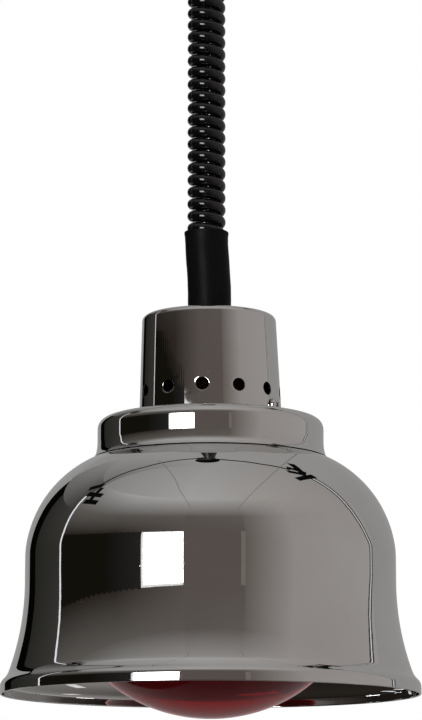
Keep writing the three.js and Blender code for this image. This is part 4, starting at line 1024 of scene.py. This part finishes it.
def finishCard(name, points, faces, shades, throughGlass=False):
    mesh = bpy.data.meshes.new(name)
    mesh.from_pydata(points, [], faces)
    layer = mesh.color_attributes.new("paint", "FLOAT_COLOR", "POINT")
    layer.data.foreach_set("color", np.array(shades, np.float32).ravel())
    mesh.materials.append(cardPaint)
    card = newObject(name, mesh)
    card.visible_camera = False
    card.visible_diffuse = False
    card.visible_transmission = throughGlass
    card.visible_shadow = False


def studioStrip(name, line, width, colour, distance=4.9):
    # A ribbon of one colour through [turn, rise] points, its width in degrees.
    aims, steps = [], cardSizes.stripSteps
    for (turnA, riseA), (turnB, riseB) in zip(line, line[1:]):
        a, b = towards(turnA, riseA), towards(turnB, riseB)
        aims += [a.slerp(b, i / steps) for i in range(steps)]
    aims.append(b)
    points = []
    for before, aim, after in zip([aims[0], *aims], aims, [*aims[1:], aims[-1]]):
        side = (after - before).cross(aim).normalized() * radians(width / 2)
        points += [cardMiddle + (aim - side) * distance, cardMiddle + (aim + side) * distance]
    faces = [(2 * i, 2 * i + 1, 2 * i + 3, 2 * i + 2) for i in range(len(aims) - 1)]
    finishCard(name, points, faces, [linear(colour)] * len(points))


wallLine, coveLine = 31, 49
room = {  # turn from and to, rise from and to, colours, then distance, boost, throughGlass
    # Walls over the furniture, each with a soft turn into the ceiling.
    "leftWall": (-106, -60, 14, wallLine, "#1f1a16 #2a241f #5a5753 #56524e"),
    "leftCove": (-106, -60, wallLine, coveLine, "#5a5753 #56524e #858380 #a3a2a1"),
    "leftFrontWall": (-60, -16, 14, wallLine, "#2a241f #544d49 #56524e #5c5652"),
    "leftFrontCove": (-60, -16, wallLine, coveLine, "#56524e #5c5652 #a3a2a1 #a2a09e"),
    "frontWall": (-16, 21, 14, wallLine, "#554e49 #564f4b #58524e #5f5954"),
    "frontCove": (-16, 21, wallLine, coveLine, "#58524e #5f5954 #a2a09e #9d9b98"),
    "rightFrontWall": (21, 52, -12, wallLine, "#5d5650 #908b88 #625c57 #8e8986"),
    "rightFrontCove": (21, 52, wallLine, coveLine, "#625c57 #8e8986 #9d9b98 #98938f"),
    "rightWall": (52, 118, -12, wallLine, "#908b88 #9a9692 #8e8986 #928d8a"),
    "rightCove": (52, 118, wallLine, coveLine, "#8e8986 #928d8a #98938f #8b8682"),
    # Low parts: dark shelves, the dark side of the room, the panel with its lit edge, the light.
    "darkShelves": (-106, -66, -12, 14.5, "#13110b"),
    "darkSide": (-66, -42.6, -12, 14.5, "#14120f #222120 #14120f #222120"),
    "panelFront": (-16.4, 18.4, -12, 14.5, "#564f4b"),
    "panelEdge": (18.4, 21, -12, 14.5, "#6d6661"),
    "softbox": (-41.0, -16.4, -12.6, 13.0, "#ffffff", 5.4, 7),
    # The floor's side of the room, which the inside of the shade and the bulb's face mirror.
    "lowFront": (-45, 21, -88, -12, "#2a2521 #2a2521 #1c1815 #4d4642", 6.0, 1, True),
    "lowFrontRight": (21, 60, -88, -12, "#2a2521 #2a2521 #554e4a #8b8784", 6.0, 1, True),
    "lowLeft": (-152, -45, -88, -12, "#2a2521 #2a2521 #221e1a #1c1815", 6.0, 1, True),
    "lowRight": (60, 152, -88, -12, "#2a2521 #2a2521 #8b8784 #7d7b78", 6.0, 1, True),
    "lowBack": (152, 208, -88, -12, "#2a2521 #2a2521 #7d7c7b #7d7c7b", 6.0, 1, True),
    "lowLeftPatchNear": (-133, -128, -30, -13, "#dfe2e6", 5.5),
    "lowLeftPatchFar": (-148, -142, -26, -14, "#cfd0d2", 5.5),
    "lowRightPatch": (96, 106, -42, -30, "#d6d6d4", 5.5),
    # Ceiling, lighter over the middle, and the pale backdrop behind the lamp.
    "ceilingLeft": (-106, -16, coveLine, 90, "#858380 #a2a09e #949391 #949391"),
    "ceilingMiddle": (-16, 52, coveLine, 90, "#a2a09e #98938f #949391 #949391"),
    "ceilingRight": (52, 118, coveLine, 90, "#98938f #8b8682 #949391 #949391"),
    "backCeiling": (118, 208, 30, 90, "#8c8a88 #888786 #949391 #949391"),
    "backLeftCove": (208, 254, 30, coveLine, "#6a6865 #33302d #8c8b89 #4a4744"),
    "backLeftCeiling": (208, 254, coveLine, 90, "#8c8b89 #6a6865 #949391 #949391"),
    "backLeft": (-137.5, -106, -12, 30, "#191a15 #272622 #2b2a28 #3a3936"),
    "backLeftEdge": (-150, -137.5, -12, 30, "#040402"),
    "backLeftPale": (-180, -150, -12, 30, "#8b8b8a #838382 #8f8f8e #8b8b8a"),
    "backRight": (118, 180, -12, 30, "#8a8886 #858584 #8c8a88 #888786"),
}
for name, values in room.items():
    studioCard(name, values[0:2], values[2:4], *values[4:])

# Frame of the backdrop: poles with a lit edge, and a crossbar that runs over the lamp. Two clamps
# on it hold the paper, and two thin wires run under the ceiling.
rightPole = ((117, -12), (116, 7), (113.4, 14), (111.6, 24), (111, 32), (113, 42), (116, 52))
frameLook, clampLook, wireLook = "#232221", (3.0, "#0b0a0a", 4.8), (0.35, "#716e6b", 4.8)
for name, line, *look in (
        ("leftPole", ((-104.7, -12), (-104.7, 17), (-106.3, 27), (-108.4, 41)), 1.5, "#e2e3e6"),
        ("crossbarLeft", ((-109.6, 46), (-113.5, 56), (-120, 66), (-135, 72), (-166, 76.6)),
         1.4, frameLook),
        ("crossbarRight", ((-166, 76.6), (150, 77.8), (124, 70.5), (119, 60)), 1.6, frameLook),
        ("rightPole", rightPole, 3.6, "#3c3b39", 5),
        ("rightPoleLit", rightPole, 1.0, "#c4c5c8"),
        ("leftClampLow", ((-104.2, 36), (-90.4, 38)), *clampLook),
        ("leftClampMiddle", ((-109.3, 40), (-93, 43)), *clampLook),
        ("leftClampHigh", ((-115, 42), (-107, 48)), *clampLook),
        ("leftClampArm", ((-99, 37), (-104, 47)), *clampLook),
        ("rightClampLow", ((100, 56.6), (121.7, 50.3)), *clampLook),
        ("rightClampHigh", ((137, 57), (114, 54.5)), *clampLook),
        ("rightClampMiddle", ((124, 61), (121.6, 53.6)), *clampLook),
        ("rightClampArm", ((112.7, 61.5), (117, 54)), *clampLook),
        ("leftWire", ((-138, 67), (-104.6, 74), (-47, 69), (-27, 56), (-14, 40)), *wireLook),
        ("rightWire", ((162, 40), (120.6, 63.7), (70, 65), (43, 57.5), (19.5, 39)), *wireLook)):
    studioStrip(name, line, *look)

# The real canopy hangs far higher than the model's. So the chrome mirrors a dark round in the
# room at its place, and not the pieces at the ceiling.
farCanopy = Values(turn=186, rise=80.5, spread=3.9, distance=4.7, sides=32)
farAim = towards(farCanopy.turn, farCanopy.rise)
farTurn = Vector((0, 0, 1)).rotation_difference(farAim)
farReach = farCanopy.distance * tan(radians(farCanopy.spread))
farPoints = [cardMiddle + farTurn @ around(farReach, 360 * k / farCanopy.sides,
                                           farCanopy.distance)
             for k in range(farCanopy.sides)]
finishCard("farCanopy", farPoints, [tuple(range(farCanopy.sides))],
           [linear("#0a0a0a")] * farCanopy.sides)
for pieceName in ("ceilingCanopy", "canopyGrommet", "canopyScrew_right", "canopyScrew_left",
                  "ceilingHook", "hangingRing", "ceiling_bracketSoftened", "hook_nutSoftened",
                  "balancer_frameSoftened", "terminal_blockSoftened", "rope_drumSoftened",
                  "drum_axleSoftened"):
    bpy.data.objects[pieceName].visible_glossy = False

lampAim = Vector((0, 0, -0.42))
lampSizes = {
    "key": Values(at=(-1.5, -2.4, 0.9), width=1.6, power=42),
    "fill": Values(at=(2.4, -1.6, 0.2), width=1.8, power=26),
    "low": Values(at=(0.2, -1.9, -0.75), width=1.2, power=14),
}
for name, size in lampSizes.items():
    lampData = bpy.data.lights.new(name, "AREA")
    lampData.shape = "SQUARE"
    lampData.size = size.width
    lampData.energy = size.power
    lamp = newObject(name, lampData)
    lamp.location = size.at
    aim = lampAim - Vector(size.at)
    lamp.rotation_euler = aim.to_track_quat("-Z", "Y").to_euler()
    lamp.visible_glossy = False
    lamp.visible_camera = False

world = bpy.data.worlds.new("studio")
world.use_nodes = True
bpy.context.scene.world = world
tree = world.node_tree
tree.nodes.clear()
path = add(tree, "LightPath")
seen = path.outputs["Is Camera Ray"]
for ray in ("Is Glossy Ray", "Is Transmission Ray"):
    seen = add(tree, "Math", {"operation": "MAXIMUM"}, {0: seen, 1: path.outputs[ray]})
roomLight = add(tree, "Background", {"Color": linear("#eef1f5"), "Strength": 0.55})
backdrop = add(tree, "Background", {"Color": linear("#ffffff"), "Strength": 1})
mixed = add(tree, "MixShader", links={0: seen, 1: roomLight, 2: backdrop})
add(tree, "OutputWorld", links={"Surface": mixed})


print("finish")
